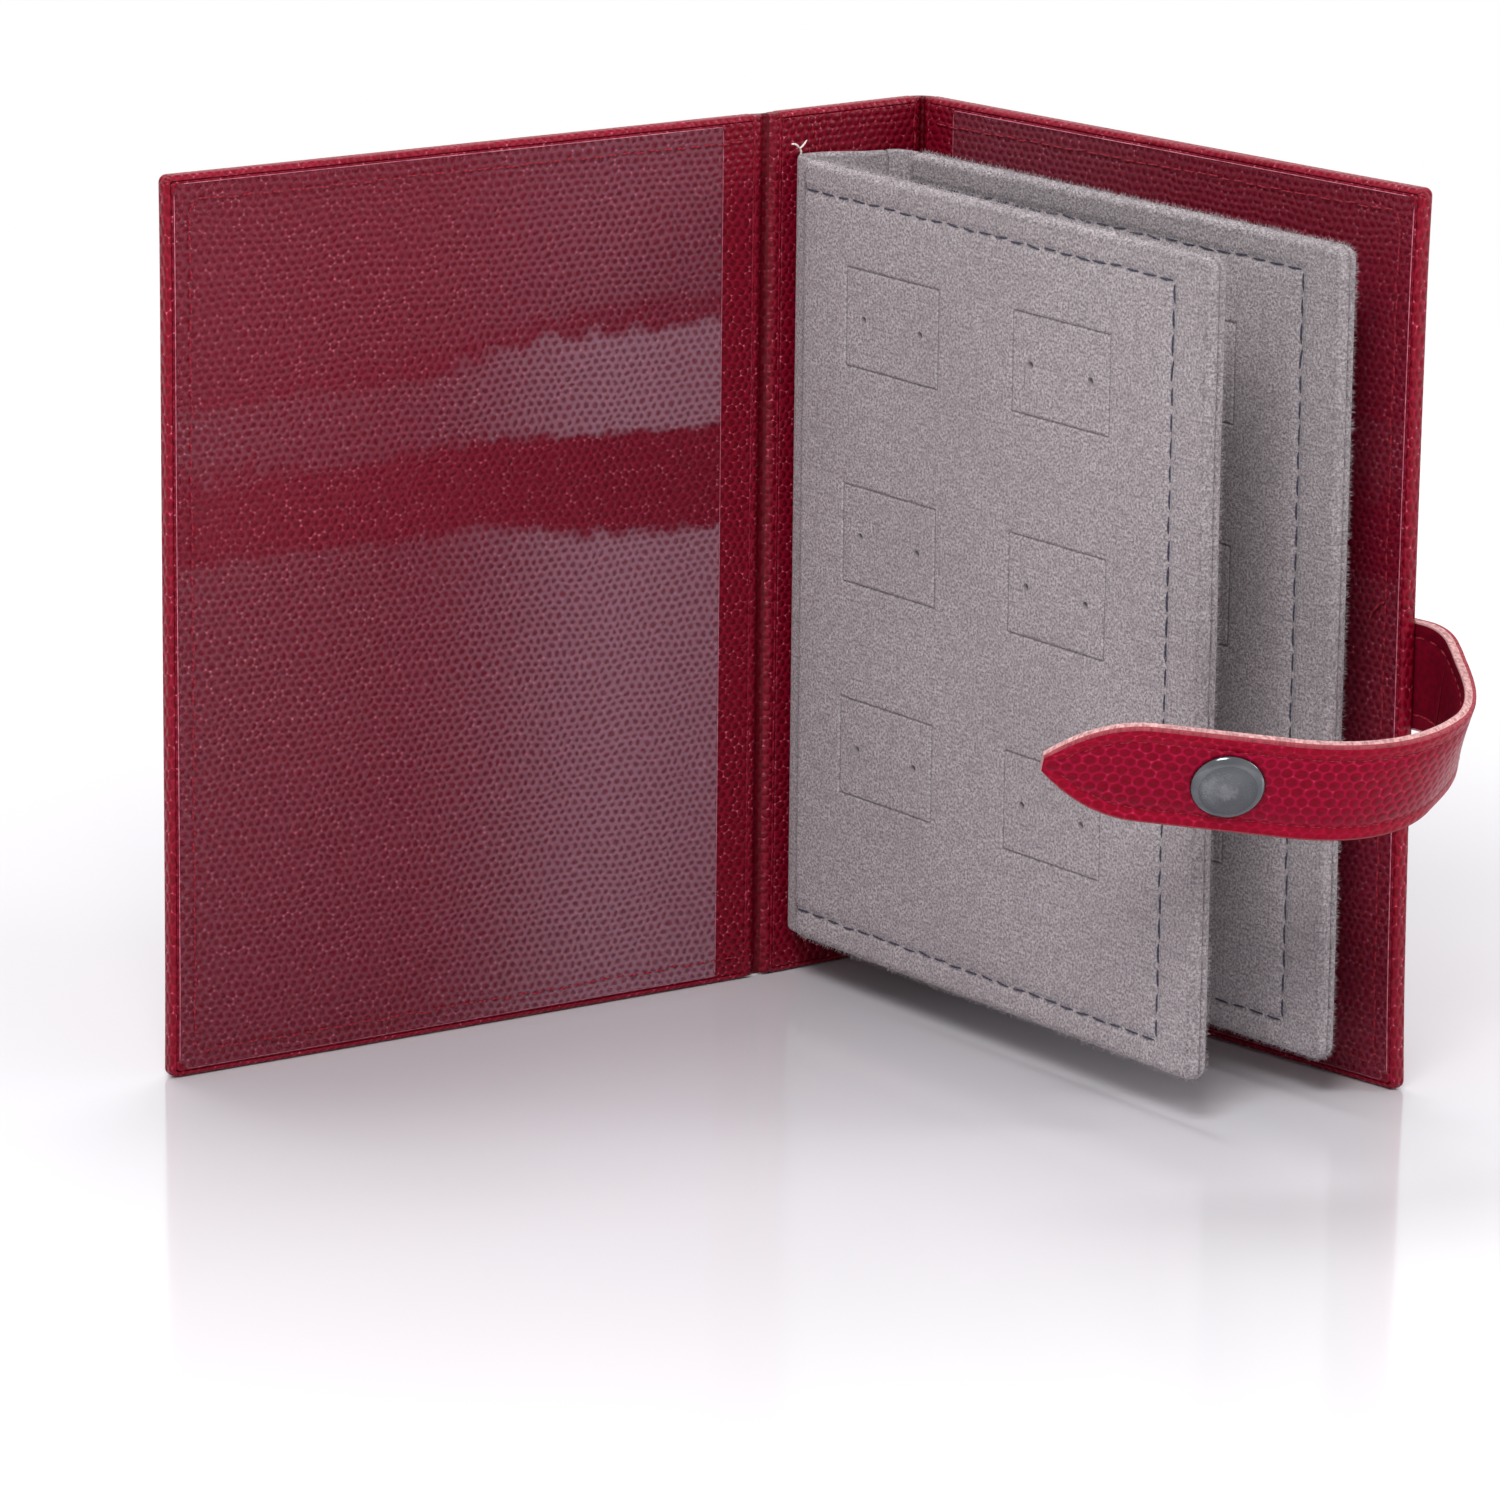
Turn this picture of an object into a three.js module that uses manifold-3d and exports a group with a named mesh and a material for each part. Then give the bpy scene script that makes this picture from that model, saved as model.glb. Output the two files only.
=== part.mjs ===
// Earring storage book, standing open on its lower edges.
// Millimetres, +Z up. X runs along the spine, the pages and the back cover reach toward -Y,
// and the origin is on the floor at the middle of the spine.
import * as THREE from 'three';
import { mergeVertices } from 'three/addons/utils/BufferGeometryUtils.js';
import Module from 'manifold-3d';

const wasm = await Module();
wasm.setup();

// Covers and spine
const coverHeight = 165;
const coverWidth = 128;
const spineWidth = 37.3;
const leatherThickness = 0.7;
const boardThickness = 1.6;
const liningThickness = 0.6;
const glueGap = 0.2;
const jointSlack = 2.1;
const coverCorner = 1.3;
const edgeRound = 0.6;
const jointLeatherThickness = 1.4;
const frontCoverAngle = 177.75;
const backCoverAngle = -84;

// Clear pockets on the inner faces of the covers
const filmThickness = 0.3;
const filmInset = 1.5;
const filmJointInset = 10;
const filmCorner = 2;

// Felt pages
const pageWidth = 123.1;
const pageHeight = 148.2;
const pageThickness = 4;
const pageCorner = 2.6;
const pageSlack = 5;
const frontPageFoot = 8.9;
const rearPageFoot = 7.8;
const frontPageAngle = -90.15;
const rearPageAngle = -87.73;
const stiffenerThickness = 0.6;
const stiffenerInset = 9;
const panelThickness = 1.8;
const panelWidth = 24.65;
const panelShift = -1.15;
const panelSlack = 3;
const hingeFeltThickness = 1.6;

// Windows in the stiffeners and the punched holes in the felt
const windowWidthShare = 0.224;
const windowHeightShare = 0.124;
const windowColumnShares = [0.266, 0.666];
const windowRowShares = [0.182, 0.456, 0.729];
const windowCorner = 1.5;
const holeDiameter = 1.5;
const holePitch = 17;

// Strap
const strapWidth = 20;
const strapLayer = 1;
const strapRootLength = 22;
const strapLength = 113;
const strapRootHeight = 73.9;
const strapTightRadius = 16.8;
const strapTightTurn = 28;
const strapWideRadius = 35.4;
const strapWideTurn = 100;
const strapFall = 17.7;
const strapFallLength = 8;
const strapRise = 7;
const strapLean = 22.2;
const strapTwistStart = 11.5;
const strapTwistEnd = 34.5;
const strapTipLength = 19;
const strapTipEnd = 1.4;
const strapTipFullness = 2.2;
const rootBendStart = 0.3;
const rootBendLength = 7.4;
const foldBendStart = 47.5;
const foldBendLength = 14;
const strapStep = 0.5;
const strapFacet = 3.5;

// Snap fastener
const snapPlace = 80.6;
const snapInset = 17.17;
const snapHeight = 68.11;
const capRadius = 6.6;
const capHeight = 2.1;
const capRim = 0.6;
const socketRadius = 5.2;
const socketThickness = 1.6;
const socketBackPlate = 0.4;
const studFlangeRadius = 4.6;
const studFlange = 0.7;
const studHeight = 2.2;
const studRadius = 2.1;
const studNeckRadius = 1.7;
const snapClearance = 0.3;
const postRadius = 1;
const eyeletRadius = 4;
const eyeletThickness = 0.4;

const seatGap = 0.3;
const overrun = 1;
const roundSteps = 28;
const cornerSteps = 4;
const holeSteps = 10;
const bendSteps = 8;

const shellThickness = leatherThickness + boardThickness + liningThickness + 2 * glueGap;
const shellHalf = shellThickness / 2;
const strapThickness = 2 * strapLayer + glueGap;
const strapOffset = shellHalf + seatGap + strapThickness / 2;
const jointX = spineWidth / 2;
const panelMiddleY = -(shellHalf + glueGap + panelThickness / 2);
const frontPageX = panelShift - panelWidth / 2;
const rearPageX = panelShift + panelWidth / 2;

const leatherRed = new THREE.MeshStandardMaterial({ color: 0x8c0a2e, roughness: 0.4 });
const liningRed = new THREE.MeshStandardMaterial({ color: 0x7c1230, roughness: 0.5 });
const greyBoard = new THREE.MeshStandardMaterial({ color: 0x8a8378, roughness: 0.9 });
const greyFelt = new THREE.MeshStandardMaterial({ color: 0x948f92, roughness: 1 });
const clearFilm = new THREE.MeshStandardMaterial({ color: 0xc06a86, roughness: 0.08 });
const gunmetal = new THREE.MeshStandardMaterial({ color: 0x5d5c63, roughness: 0.3, metalness: 1 });

// Geometry helpers
function radians(degrees) {
  return THREE.MathUtils.degToRad(degrees);
}

function solidOf(geometry) {
  const bare = geometry.clone();
  bare.deleteAttribute('normal');
  bare.deleteAttribute('uv');
  const merged = mergeVertices(bare);
  return new wasm.Manifold(new wasm.Mesh({
    numProp: 3,
    vertProperties: Float32Array.from(merged.attributes.position.array),
    triVerts: Uint32Array.from(merged.index.array),
  }));
}

function geometryOf(solid) {
  const mesh = solid.getMesh();
  const geometry = new THREE.BufferGeometry();
  geometry.setAttribute('position', new THREE.BufferAttribute(mesh.vertProperties, 3));
  geometry.setIndex(new THREE.BufferAttribute(mesh.triVerts, 1));
  geometry.computeVertexNormals();
  return geometry;
}

function cut(geometry, ...tools) {
  let solid = solidOf(geometry);
  for (const tool of tools) {
    solid = solid.subtract(solidOf(tool));
  }
  return geometryOf(solid);
}

function add(group, name, geometry, material) {
  const mesh = new THREE.Mesh(geometry, material);
  mesh.name = name;
  group.add(mesh);
  return mesh;
}

// A rectangle whose corners at the near side (x0) and the far side (x1) have their own radii
function panelShape(x0, x1, z0, z1, nearRadius, farRadius) {
  const shape = new THREE.Shape();
  shape.moveTo(x0 + nearRadius, z0);
  shape.lineTo(x1 - farRadius, z0);
  if (farRadius > 0) {
    shape.absarc(x1 - farRadius, z0 + farRadius, farRadius, -Math.PI / 2, 0, false);
  }
  shape.lineTo(x1, z1 - farRadius);
  if (farRadius > 0) {
    shape.absarc(x1 - farRadius, z1 - farRadius, farRadius, 0, Math.PI / 2, false);
  }
  shape.lineTo(x0 + nearRadius, z1);
  if (nearRadius > 0) {
    shape.absarc(x0 + nearRadius, z1 - nearRadius, nearRadius, Math.PI / 2, Math.PI, false);
  }
  shape.lineTo(x0, z0 + nearRadius);
  if (nearRadius > 0) {
    shape.absarc(x0 + nearRadius, z0 + nearRadius, nearRadius, Math.PI, Math.PI * 1.5, false);
  }
  return shape;
}

// A shape drawn in X and Z, as thick as y0 to y1, with its outer edges rounded
function plate(shape, y0, y1, round = 0) {
  const geometry = new THREE.ExtrudeGeometry(shape, {
    depth: y1 - y0 - 2 * round,
    curveSegments: cornerSteps,
    bevelEnabled: round > 0,
    bevelThickness: round,
    bevelSize: round,
    bevelOffset: -round,
    bevelSegments: 2,
  });
  geometry.rotateX(Math.PI / 2);
  geometry.translate(0, y1 - round, 0);
  return geometry;
}

// A rod along Y from y0 to y1
function rod(radius, y0, y1, x, z, steps) {
  const geometry = new THREE.CylinderGeometry(radius, radius, y1 - y0, steps);
  geometry.translate(x, (y0 + y1) / 2, z);
  return geometry;
}

// A closed profile of [radius, height] points turned about Y
function turned(profile) {
  const points = profile.map(([radius, height]) => new THREE.Vector2(radius, height));
  points.push(points[0].clone());
  return new THREE.LatheGeometry(points, roundSteps);
}

// A strip that bends from one plan point to another round a corner, upright from z0 to z1
function bentStrip(start, corner, end, thickness, z0, z1) {
  const curve = new THREE.QuadraticBezierCurve(start, corner, end);
  const left = [];
  const right = [];
  for (let i = 0; i <= bendSteps; i += 1) {
    const point = curve.getPoint(i / bendSteps);
    const along = curve.getTangent(i / bendSteps);
    const across = new THREE.Vector2(-along.y, along.x).multiplyScalar(thickness / 2);
    left.push(point.clone().add(across));
    right.unshift(point.clone().sub(across));
  }
  const shape = new THREE.Shape([...left, ...right]);
  const geometry = new THREE.ExtrudeGeometry(shape, { depth: z1 - z0, bevelEnabled: false });
  geometry.translate(0, 0, z0);
  return geometry;
}

function planPoint(x, y, angle, distance) {
  return new THREE.Vector2(
    x + distance * Math.cos(radians(angle)),
    y + distance * Math.sin(radians(angle)),
  );
}

// Stiff panels: a leather shell turned round the edges of a board, closed by a lining.
// innerSide is +1 where the inner face looks along local +Y, and -1 along local -Y.
function layer(shape, innerSide, fromOuter, toOuter, round = 0) {
  const a = innerSide * (fromOuter - shellHalf);
  const b = innerSide * (toOuter - shellHalf);
  return plate(shape, Math.min(a, b), Math.max(a, b), round);
}

function stiffPanel(x0, x1, innerSide, farRadius) {
  const inset = leatherThickness + glueGap;
  const boardFrom = leatherThickness + glueGap;
  const liningFrom = boardFrom + boardThickness + glueGap;
  const outer = panelShape(x0, x1, 0, coverHeight, 0, farRadius);
  const recess = panelShape(
    x0 + leatherThickness,
    x1 - leatherThickness,
    leatherThickness,
    coverHeight - leatherThickness,
    0,
    Math.max(farRadius - leatherThickness, 0),
  );
  const inner = panelShape(
    x0 + inset,
    x1 - inset,
    inset,
    coverHeight - inset,
    0,
    Math.max(farRadius - inset, 0),
  );
  return {
    leather: cut(
      layer(outer, innerSide, 0, shellThickness, edgeRound),
      layer(recess, innerSide, leatherThickness, shellThickness + overrun),
    ),
    board: layer(inner, innerSide, boardFrom, boardFrom + boardThickness),
    lining: layer(inner, innerSide, liningFrom, shellThickness),
  };
}

function pocketFilm(innerSide) {
  const sheet = panelShape(
    filmJointInset,
    coverWidth - filmInset,
    filmInset,
    coverHeight - filmInset,
    0,
    filmCorner,
  );
  const from = shellThickness + glueGap;
  return layer(sheet, innerSide, from, from + filmThickness);
}

// Spine
function buildSpine() {
  const group = new THREE.Group();
  const reach = jointX - jointSlack;
  const panel = stiffPanel(-reach, reach, -1, 0);
  add(group, 'spine_leather', panel.leather, leatherRed);
  add(group, 'spine_board', panel.board, greyBoard);
  add(group, 'spine_lining', panel.lining, liningRed);
  return group;
}

function jointLeather(side, coverAngle) {
  const x = side * jointX;
  const reach = jointSlack - seatGap;
  return bentStrip(
    new THREE.Vector2(x - side * reach, 0),
    new THREE.Vector2(x, 0),
    planPoint(x, 0, coverAngle, reach),
    jointLeatherThickness,
    leatherThickness,
    coverHeight - leatherThickness,
  );
}

// Snap fastener: cap and socket on the strap, stud and eyelet on the front cover
function studGeometry() {
  const bore = postRadius + glueGap;
  const shoulder = (studRadius - studNeckRadius) / 2;
  const knob = studHeight - studFlange;
  return turned([
    [bore, glueGap],
    [studFlangeRadius, glueGap],
    [studFlangeRadius, glueGap + studFlange / 2],
    [studNeckRadius + shoulder, glueGap + studFlange],
    [studNeckRadius, glueGap + studFlange + knob / 4],
    [studRadius, glueGap + studFlange + knob / 2],
    [studRadius, studHeight - knob / 6],
    [studNeckRadius, studHeight],
    [bore, studHeight],
  ]);
}

function eyeletGeometry(headDepth) {
  return new THREE.LatheGeometry([
    new THREE.Vector2(0, -headDepth - eyeletThickness),
    new THREE.Vector2(eyeletRadius, -headDepth - eyeletThickness),
    new THREE.Vector2(eyeletRadius, -headDepth),
    new THREE.Vector2(postRadius, -headDepth),
    new THREE.Vector2(postRadius, studHeight - glueGap),
    new THREE.Vector2(0, studHeight - glueGap),
  ], roundSteps);
}

function socketGeometry() {
  const front = socketThickness;
  const bore = studRadius + snapClearance;
  return turned([
    [postRadius + glueGap, 0],
    [socketRadius, 0],
    [socketRadius, front / 2],
    [socketRadius - front / 2, front],
    [bore, front],
    [bore, socketBackPlate],
    [postRadius + glueGap, socketBackPlate],
  ].map(([radius, depth]) => [radius, -depth]).reverse());
}

function capGeometry(postLength) {
  const dome = [];
  for (let i = 0; i <= cornerSteps * 2; i += 1) {
    const angle = (Math.PI / 2) * (i / (cornerSteps * 2));
    const height = capRim + (capHeight - capRim) * Math.sin(angle);
    dome.push(new THREE.Vector2(capRadius * Math.cos(angle), height));
  }
  dome[dome.length - 1].x = 0;
  return new THREE.LatheGeometry([
    new THREE.Vector2(0, -postLength),
    new THREE.Vector2(postRadius, -postLength),
    new THREE.Vector2(postRadius, 0),
    new THREE.Vector2(capRadius - capRim / 2, 0),
    ...dome,
  ], roundSteps);
}

// Covers
function buildFrontCover() {
  const group = new THREE.Group();
  group.position.set(-jointX, 0, 0);
  group.rotation.z = radians(frontCoverAngle);
  const panel = stiffPanel(jointSlack, coverWidth, 1, coverCorner);
  const x = coverWidth - snapInset;
  const boardOuter = -shellHalf + leatherThickness + glueGap;
  const boardInner = boardOuter + boardThickness;
  const headRoom = eyeletThickness + glueGap;
  const hole = rod(postRadius + glueGap, -shellHalf - overrun, shellHalf, x, snapHeight, roundSteps);
  const recess = rod(
    eyeletRadius + glueGap,
    boardInner - headRoom,
    boardInner + overrun,
    x,
    snapHeight,
    roundSteps,
  );
  add(group, 'front_cover_leather', cut(panel.leather, hole), leatherRed);
  add(group, 'front_cover_board', cut(panel.board, hole, recess), greyBoard);
  add(group, 'front_cover_lining', panel.lining, liningRed);
  add(group, 'front_cover_pocket_film', pocketFilm(1), clearFilm);
  const headDepth = boardInner - headRoom + glueGap / 2 + shellHalf;
  for (const [name, geometry] of [
    ['snap_stud', studGeometry()],
    ['stud_eyelet', eyeletGeometry(headDepth)],
  ]) {
    geometry.rotateX(Math.PI);
    geometry.translate(x, -shellHalf, snapHeight);
    add(group, name, geometry, gunmetal);
  }
  return group;
}

// Felt pages: two felts round a stiffener with six windows, punched for earring posts
function pageWindows(visit) {
  for (const column of windowColumnShares) {
    for (const row of windowRowShares) {
      visit(pageWidth * column, pageHeight * (1 - row));
    }
  }
}

function circleHole(x, z, radius) {
  const hole = new THREE.Path();
  const points = [];
  for (let i = 0; i < holeSteps; i += 1) {
    const angle = (-2 * Math.PI * i) / holeSteps;
    points.push(new THREE.Vector2(x + radius * Math.cos(angle), z + radius * Math.sin(angle)));
  }
  hole.setFromPoints(points);
  return hole;
}

function feltFace(side) {
  const shape = panelShape(pageSlack, pageWidth, 0, pageHeight, 0, pageCorner);
  pageWindows((x, z) => {
    shape.holes.push(circleHole(x - holePitch / 2, z, holeDiameter / 2));
    shape.holes.push(circleHole(x + holePitch / 2, z, holeDiameter / 2));
  });
  const recessInset = stiffenerInset - glueGap;
  const recess = panelShape(
    pageSlack + recessInset,
    pageWidth - recessInset,
    recessInset,
    pageHeight - recessInset,
    0,
    0,
  );
  const seam = glueGap / 2;
  const depth = stiffenerThickness / 2 + glueGap;
  const half = pageThickness / 2;
  if (side > 0) {
    return cut(plate(shape, seam, half), plate(recess, seam - overrun, depth));
  }
  return cut(plate(shape, -half, -seam), plate(recess, -depth, overrun - seam));
}

function stiffener() {
  const shape = panelShape(
    pageSlack + stiffenerInset,
    pageWidth - stiffenerInset,
    stiffenerInset,
    pageHeight - stiffenerInset,
    0,
    0,
  );
  pageWindows((x, z) => {
    const w = (pageWidth * windowWidthShare) / 2;
    const h = (pageHeight * windowHeightShare) / 2;
    shape.holes.push(panelShape(x - w, x + w, z - h, z + h, windowCorner, windowCorner));
  });
  return plate(shape, -stiffenerThickness / 2, stiffenerThickness / 2);
}

function buildPage(name, x, foot, angle) {
  const group = new THREE.Group();
  group.position.set(x, panelMiddleY, foot);
  group.rotation.z = radians(angle);
  add(group, `${name}_face_felt`, feltFace(-1), greyFelt);
  add(group, `${name}_stiffener`, stiffener(), greyBoard);
  add(group, `${name}_back_felt`, feltFace(1), greyFelt);
  return group;
}

function buildFeltPanel() {
  const group = new THREE.Group();
  const z0 = frontPageFoot;
  const z1 = frontPageFoot + pageHeight;
  const shape = panelShape(frontPageX + panelSlack, rearPageX - panelSlack, z0, z1, 0, 0);
  const half = panelThickness / 2;
  add(group, 'felt_spine_panel', plate(shape, panelMiddleY - half, panelMiddleY + half), greyFelt);
  return group;
}

function hingeFelt(x, side, angle, foot) {
  return bentStrip(
    new THREE.Vector2(x - side * (panelSlack - seatGap), panelMiddleY),
    new THREE.Vector2(x, panelMiddleY),
    planPoint(x, panelMiddleY, angle, pageSlack - seatGap),
    hingeFeltThickness,
    foot,
    foot + pageHeight,
  );
}

// Strap: it leaves the fore-edge of the back cover, curls round and ends in a straight tongue.
// Its route is laid in the back cover's frame, with a slope and a lean that grow along it.
function smooth(value) {
  const t = THREE.MathUtils.clamp(value, 0, 1);
  return t * t * (3 - 2 * t);
}

function strapHeading(s) {
  const tight = strapTightRadius * radians(strapTightTurn);
  const wide = strapWideRadius * radians(strapWideTurn);
  const first = Math.min(Math.max(s, 0), tight) / strapTightRadius;
  const second = THREE.MathUtils.clamp(s - tight, 0, wide) / strapWideRadius;
  return -first - second;
}

function strapSlope(s) {
  const curl = strapTightRadius * radians(strapTightTurn) + strapWideRadius * radians(strapWideTurn);
  const fall = strapFall * smooth(s / strapFallLength);
  return radians((strapFall + strapRise) * smooth(s / curl) - fall);
}

function strapDirection(s) {
  const heading = strapHeading(s);
  const slope = strapSlope(s);
  return new THREE.Vector3(
    Math.cos(heading) * Math.cos(slope),
    Math.sin(heading) * Math.cos(slope),
    Math.sin(slope),
  );
}

function strapPoint(s) {
  const point = new THREE.Vector3(coverWidth, strapOffset, strapRootHeight);
  const steps = Math.max(1, Math.round(s / strapStep));
  for (let i = 0; i < steps; i += 1) {
    point.addScaledVector(strapDirection(((i + 0.5) * s) / steps), s / steps);
  }
  return point;
}

function strapFrame(s) {
  const point = strapPoint(s);
  const along = strapDirection(s);
  const heading = strapHeading(s);
  const side = new THREE.Vector3(-Math.sin(heading), Math.cos(heading), 0);
  const twist = (s - strapTwistStart) / (strapTwistEnd - strapTwistStart);
  const lean = radians(strapLean) * smooth(twist);
  const across = new THREE.Vector3(0, 0, 1).multiplyScalar(Math.cos(lean));
  across.addScaledVector(side, Math.sin(lean));
  across.addScaledVector(along, -across.dot(along)).normalize();
  const outward = new THREE.Vector3().crossVectors(across, along);
  return { point, along, across, outward };
}

function strapHalfWidth(s) {
  const into = (s - (strapLength - strapTipLength)) / strapTipLength;
  if (into <= 0) {
    return strapWidth / 2;
  }
  const share = 1 - into ** strapTipFullness;
  return strapTipEnd + (strapWidth / 2 - strapTipEnd) * share;
}

// One layer of the strap between two places along it, from depth d0 to d1 off its middle.
// Both its faces are split along the same diagonals, so twisted layers stay parallel.
function strapRibbon(s0, s1, d0, d1) {
  const steps = Math.max(2, Math.ceil((s1 - s0) / strapFacet));
  const positions = [];
  for (let i = 0; i <= steps; i += 1) {
    const s = s0 + ((s1 - s0) * i) / steps;
    const frame = strapFrame(s);
    const half = strapHalfWidth(s);
    for (const [depth, width] of [[d0, -half], [d1, -half], [d1, half], [d0, half]]) {
      const corner = frame.point.clone();
      corner.addScaledVector(frame.outward, depth);
      corner.addScaledVector(frame.across, width);
      positions.push(corner.x, corner.y, corner.z);
    }
  }
  const index = [0, 2, 1, 0, 3, 2];
  const last = steps * 4;
  index.push(last, last + 1, last + 2, last, last + 2, last + 3);
  for (let i = 0; i < steps; i += 1) {
    for (let j = 0; j < 4; j += 1) {
      const a = i * 4 + j;
      const b = i * 4 + ((j + 1) % 4);
      if (j < 2) {
        index.push(a, b, a + 4, b, b + 4, a + 4);
      } else {
        index.push(a, b, b + 4, a, b + 4, a + 4);
      }
    }
  }
  const geometry = new THREE.BufferGeometry();
  geometry.setAttribute('position', new THREE.Float32BufferAttribute(positions, 3));
  geometry.setIndex(index);
  geometry.computeVertexNormals();
  return geometry;
}

function onStrap(geometry, s, depth) {
  const { point, along, outward } = strapFrame(s);
  const third = new THREE.Vector3().crossVectors(along, outward);
  const matrix = new THREE.Matrix4().makeBasis(along, outward, third);
  matrix.setPosition(point.addScaledVector(outward, depth));
  geometry.applyMatrix4(matrix);
  return geometry;
}

function buildStrap(group) {
  const half = strapThickness / 2;
  const layers = [
    ['outer', glueGap / 2, half, leatherRed],
    ['lining', -half, -glueGap / 2, liningRed],
  ];
  const bandStart = rootBendStart + rootBendLength + seatGap;
  const bandEnd = foldBendStart - seatGap;
  const foldEnd = foldBendStart + foldBendLength;
  const rootShape = panelShape(
    coverWidth - strapRootLength,
    coverWidth,
    strapRootHeight - strapWidth / 2,
    strapRootHeight + strapWidth / 2,
    0,
    0,
  );
  for (const [name, d0, d1, material] of layers) {
    const root = plate(rootShape, strapOffset + d0, strapOffset + d1);
    add(group, `strap_root_${name}`, root, material);
    add(group, `strap_band_${name}`, strapRibbon(bandStart, bandEnd, d0, d1), material);
    const post = rod(postRadius + glueGap, -strapThickness, strapThickness, 0, 0, roundSteps);
    const tongue = cut(
      strapRibbon(foldEnd + seatGap, strapLength, d0, d1),
      onStrap(post, snapPlace, 0),
    );
    add(group, `strap_tongue_${name}`, tongue, material);
  }
  const rootBend = strapRibbon(rootBendStart, rootBendStart + rootBendLength, -half, half);
  add(group, 'strap_root_bend', rootBend, leatherRed);
  add(group, 'strap_fold_bend', strapRibbon(foldBendStart, foldEnd, -half, half), leatherRed);
  const postLength = strapThickness + 2 * glueGap + socketBackPlate / 2;
  add(group, 'snap_cap', onStrap(capGeometry(postLength), snapPlace, half + glueGap), gunmetal);
  add(group, 'snap_socket', onStrap(socketGeometry(), snapPlace, -half - glueGap), gunmetal);
}

function buildBackCover() {
  const group = new THREE.Group();
  group.position.set(jointX, 0, 0);
  group.rotation.z = radians(backCoverAngle);
  const panel = stiffPanel(jointSlack, coverWidth, -1, coverCorner);
  add(group, 'back_cover_leather', panel.leather, leatherRed);
  add(group, 'back_cover_board', panel.board, greyBoard);
  add(group, 'back_cover_lining', panel.lining, liningRed);
  add(group, 'back_cover_pocket_film', pocketFilm(-1), clearFilm);
  buildStrap(group);
  return group;
}

const group = new THREE.Group();
group.add(buildSpine());
add(group, 'front_joint_leather', jointLeather(-1, frontCoverAngle), leatherRed);
add(group, 'back_joint_leather', jointLeather(1, backCoverAngle), leatherRed);
group.add(buildFeltPanel());
add(group, 'front_page_hinge_felt', hingeFelt(frontPageX, -1, frontPageAngle, frontPageFoot), greyFelt);
add(group, 'rear_page_hinge_felt', hingeFelt(rearPageX, 1, rearPageAngle, rearPageFoot), greyFelt);
group.add(buildPage('front_page', frontPageX, frontPageFoot, frontPageAngle));
group.add(buildPage('rear_page', rearPageX, rearPageFoot, rearPageAngle));
group.add(buildFrontCover());
group.add(buildBackCover());

export default group;
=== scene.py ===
"""Looks of the earring storage book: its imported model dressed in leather, felt, film and thread.

Shapes are written in mm, in the frame of the board or page that they lie on, and their points
are turned into metres in the row frame.
"""
import math

import bmesh
import bpy
import numpy as np
from mathutils import Matrix, Vector


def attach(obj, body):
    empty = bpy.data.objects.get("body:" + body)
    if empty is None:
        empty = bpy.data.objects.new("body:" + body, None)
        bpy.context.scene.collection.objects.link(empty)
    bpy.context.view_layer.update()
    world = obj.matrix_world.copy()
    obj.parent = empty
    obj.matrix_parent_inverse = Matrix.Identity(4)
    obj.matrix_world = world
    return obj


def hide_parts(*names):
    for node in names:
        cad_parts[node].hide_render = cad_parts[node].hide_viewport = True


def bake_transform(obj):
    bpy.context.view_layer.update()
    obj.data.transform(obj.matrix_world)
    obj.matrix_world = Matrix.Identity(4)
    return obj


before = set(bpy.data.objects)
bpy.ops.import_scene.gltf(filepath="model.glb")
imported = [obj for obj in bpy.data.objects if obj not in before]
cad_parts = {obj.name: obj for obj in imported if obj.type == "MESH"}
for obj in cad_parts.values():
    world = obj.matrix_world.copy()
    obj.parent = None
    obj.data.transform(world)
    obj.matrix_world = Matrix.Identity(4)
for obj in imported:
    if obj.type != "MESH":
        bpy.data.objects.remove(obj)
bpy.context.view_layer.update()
scene = bpy.context.scene

MM = 0.001
HEIGHT = 165.0
COVER = 128.0
COVER_ANGLES = {"front": 177.75, "back": -84.0}
COVER_SAG = 0.8
JOINT = 18.65
HALF = 1.65
SLACK = 2.1
LINING_INSET = 1.12
CORE_INSET = 1.25
SPINE_HALF = 16.55
PAGE_HEIGHT = 148.2
PAGE_WIDTH = 123.1
PAGE_SLACK = 5.0
PAGE_HALF = 2.0
PAGE_Y = -2.75
FRONT_PAGE_X, FRONT_PAGE_ANGLE, FRONT_PAGE_FOOT = -13.475, -90.15, 8.9
REAR_PAGE_X, REAR_PAGE_ANGLE, REAR_PAGE_FOOT = 11.175, -87.73, 7.8
WINDOW_WIDTH = 0.224 * PAGE_WIDTH
WINDOW_HEIGHT = 0.124 * PAGE_HEIGHT
WINDOW_COLUMNS = [0.266 * PAGE_WIDTH, 0.666 * PAGE_WIDTH]
WINDOW_ROWS = [(1 - share) * PAGE_HEIGHT for share in (0.182, 0.456, 0.729)]
HOLE_RADIUS = 0.75
HOLE_PITCH = 17.0
STITCH_PITCH, STITCH_LENGTH = 3.05, 2.3
STRAP_PITCH, STRAP_STITCH = 3.0, 2.2
STRAP_OFFSET, STRAP_HEIGHT = 3.05, 73.9
STRAP_START, STRAP_END = -22.0, 113.0
STRAP_WIDE, STRAP_THICK = 10.0, 1.1
SNAP_PLACE = 80.6
SNAP_INSET = 17.17
SNAP_HEIGHT = 68.11
FAR = 99.0


# frames and small sums
def place(x, y, angle, foot=0.0):
    """A function from local mm (along, out, up), one row per point, to metres in the row frame."""
    c, s = math.cos(math.radians(angle)), math.sin(math.radians(angle))

    def to_row(points):
        px, py, pz = np.asarray(points, float).reshape(-1, 3).T
        return np.stack([x + px * c - py * s, y + px * s + py * c, foot + pz], 1) * MM

    return to_row


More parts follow.
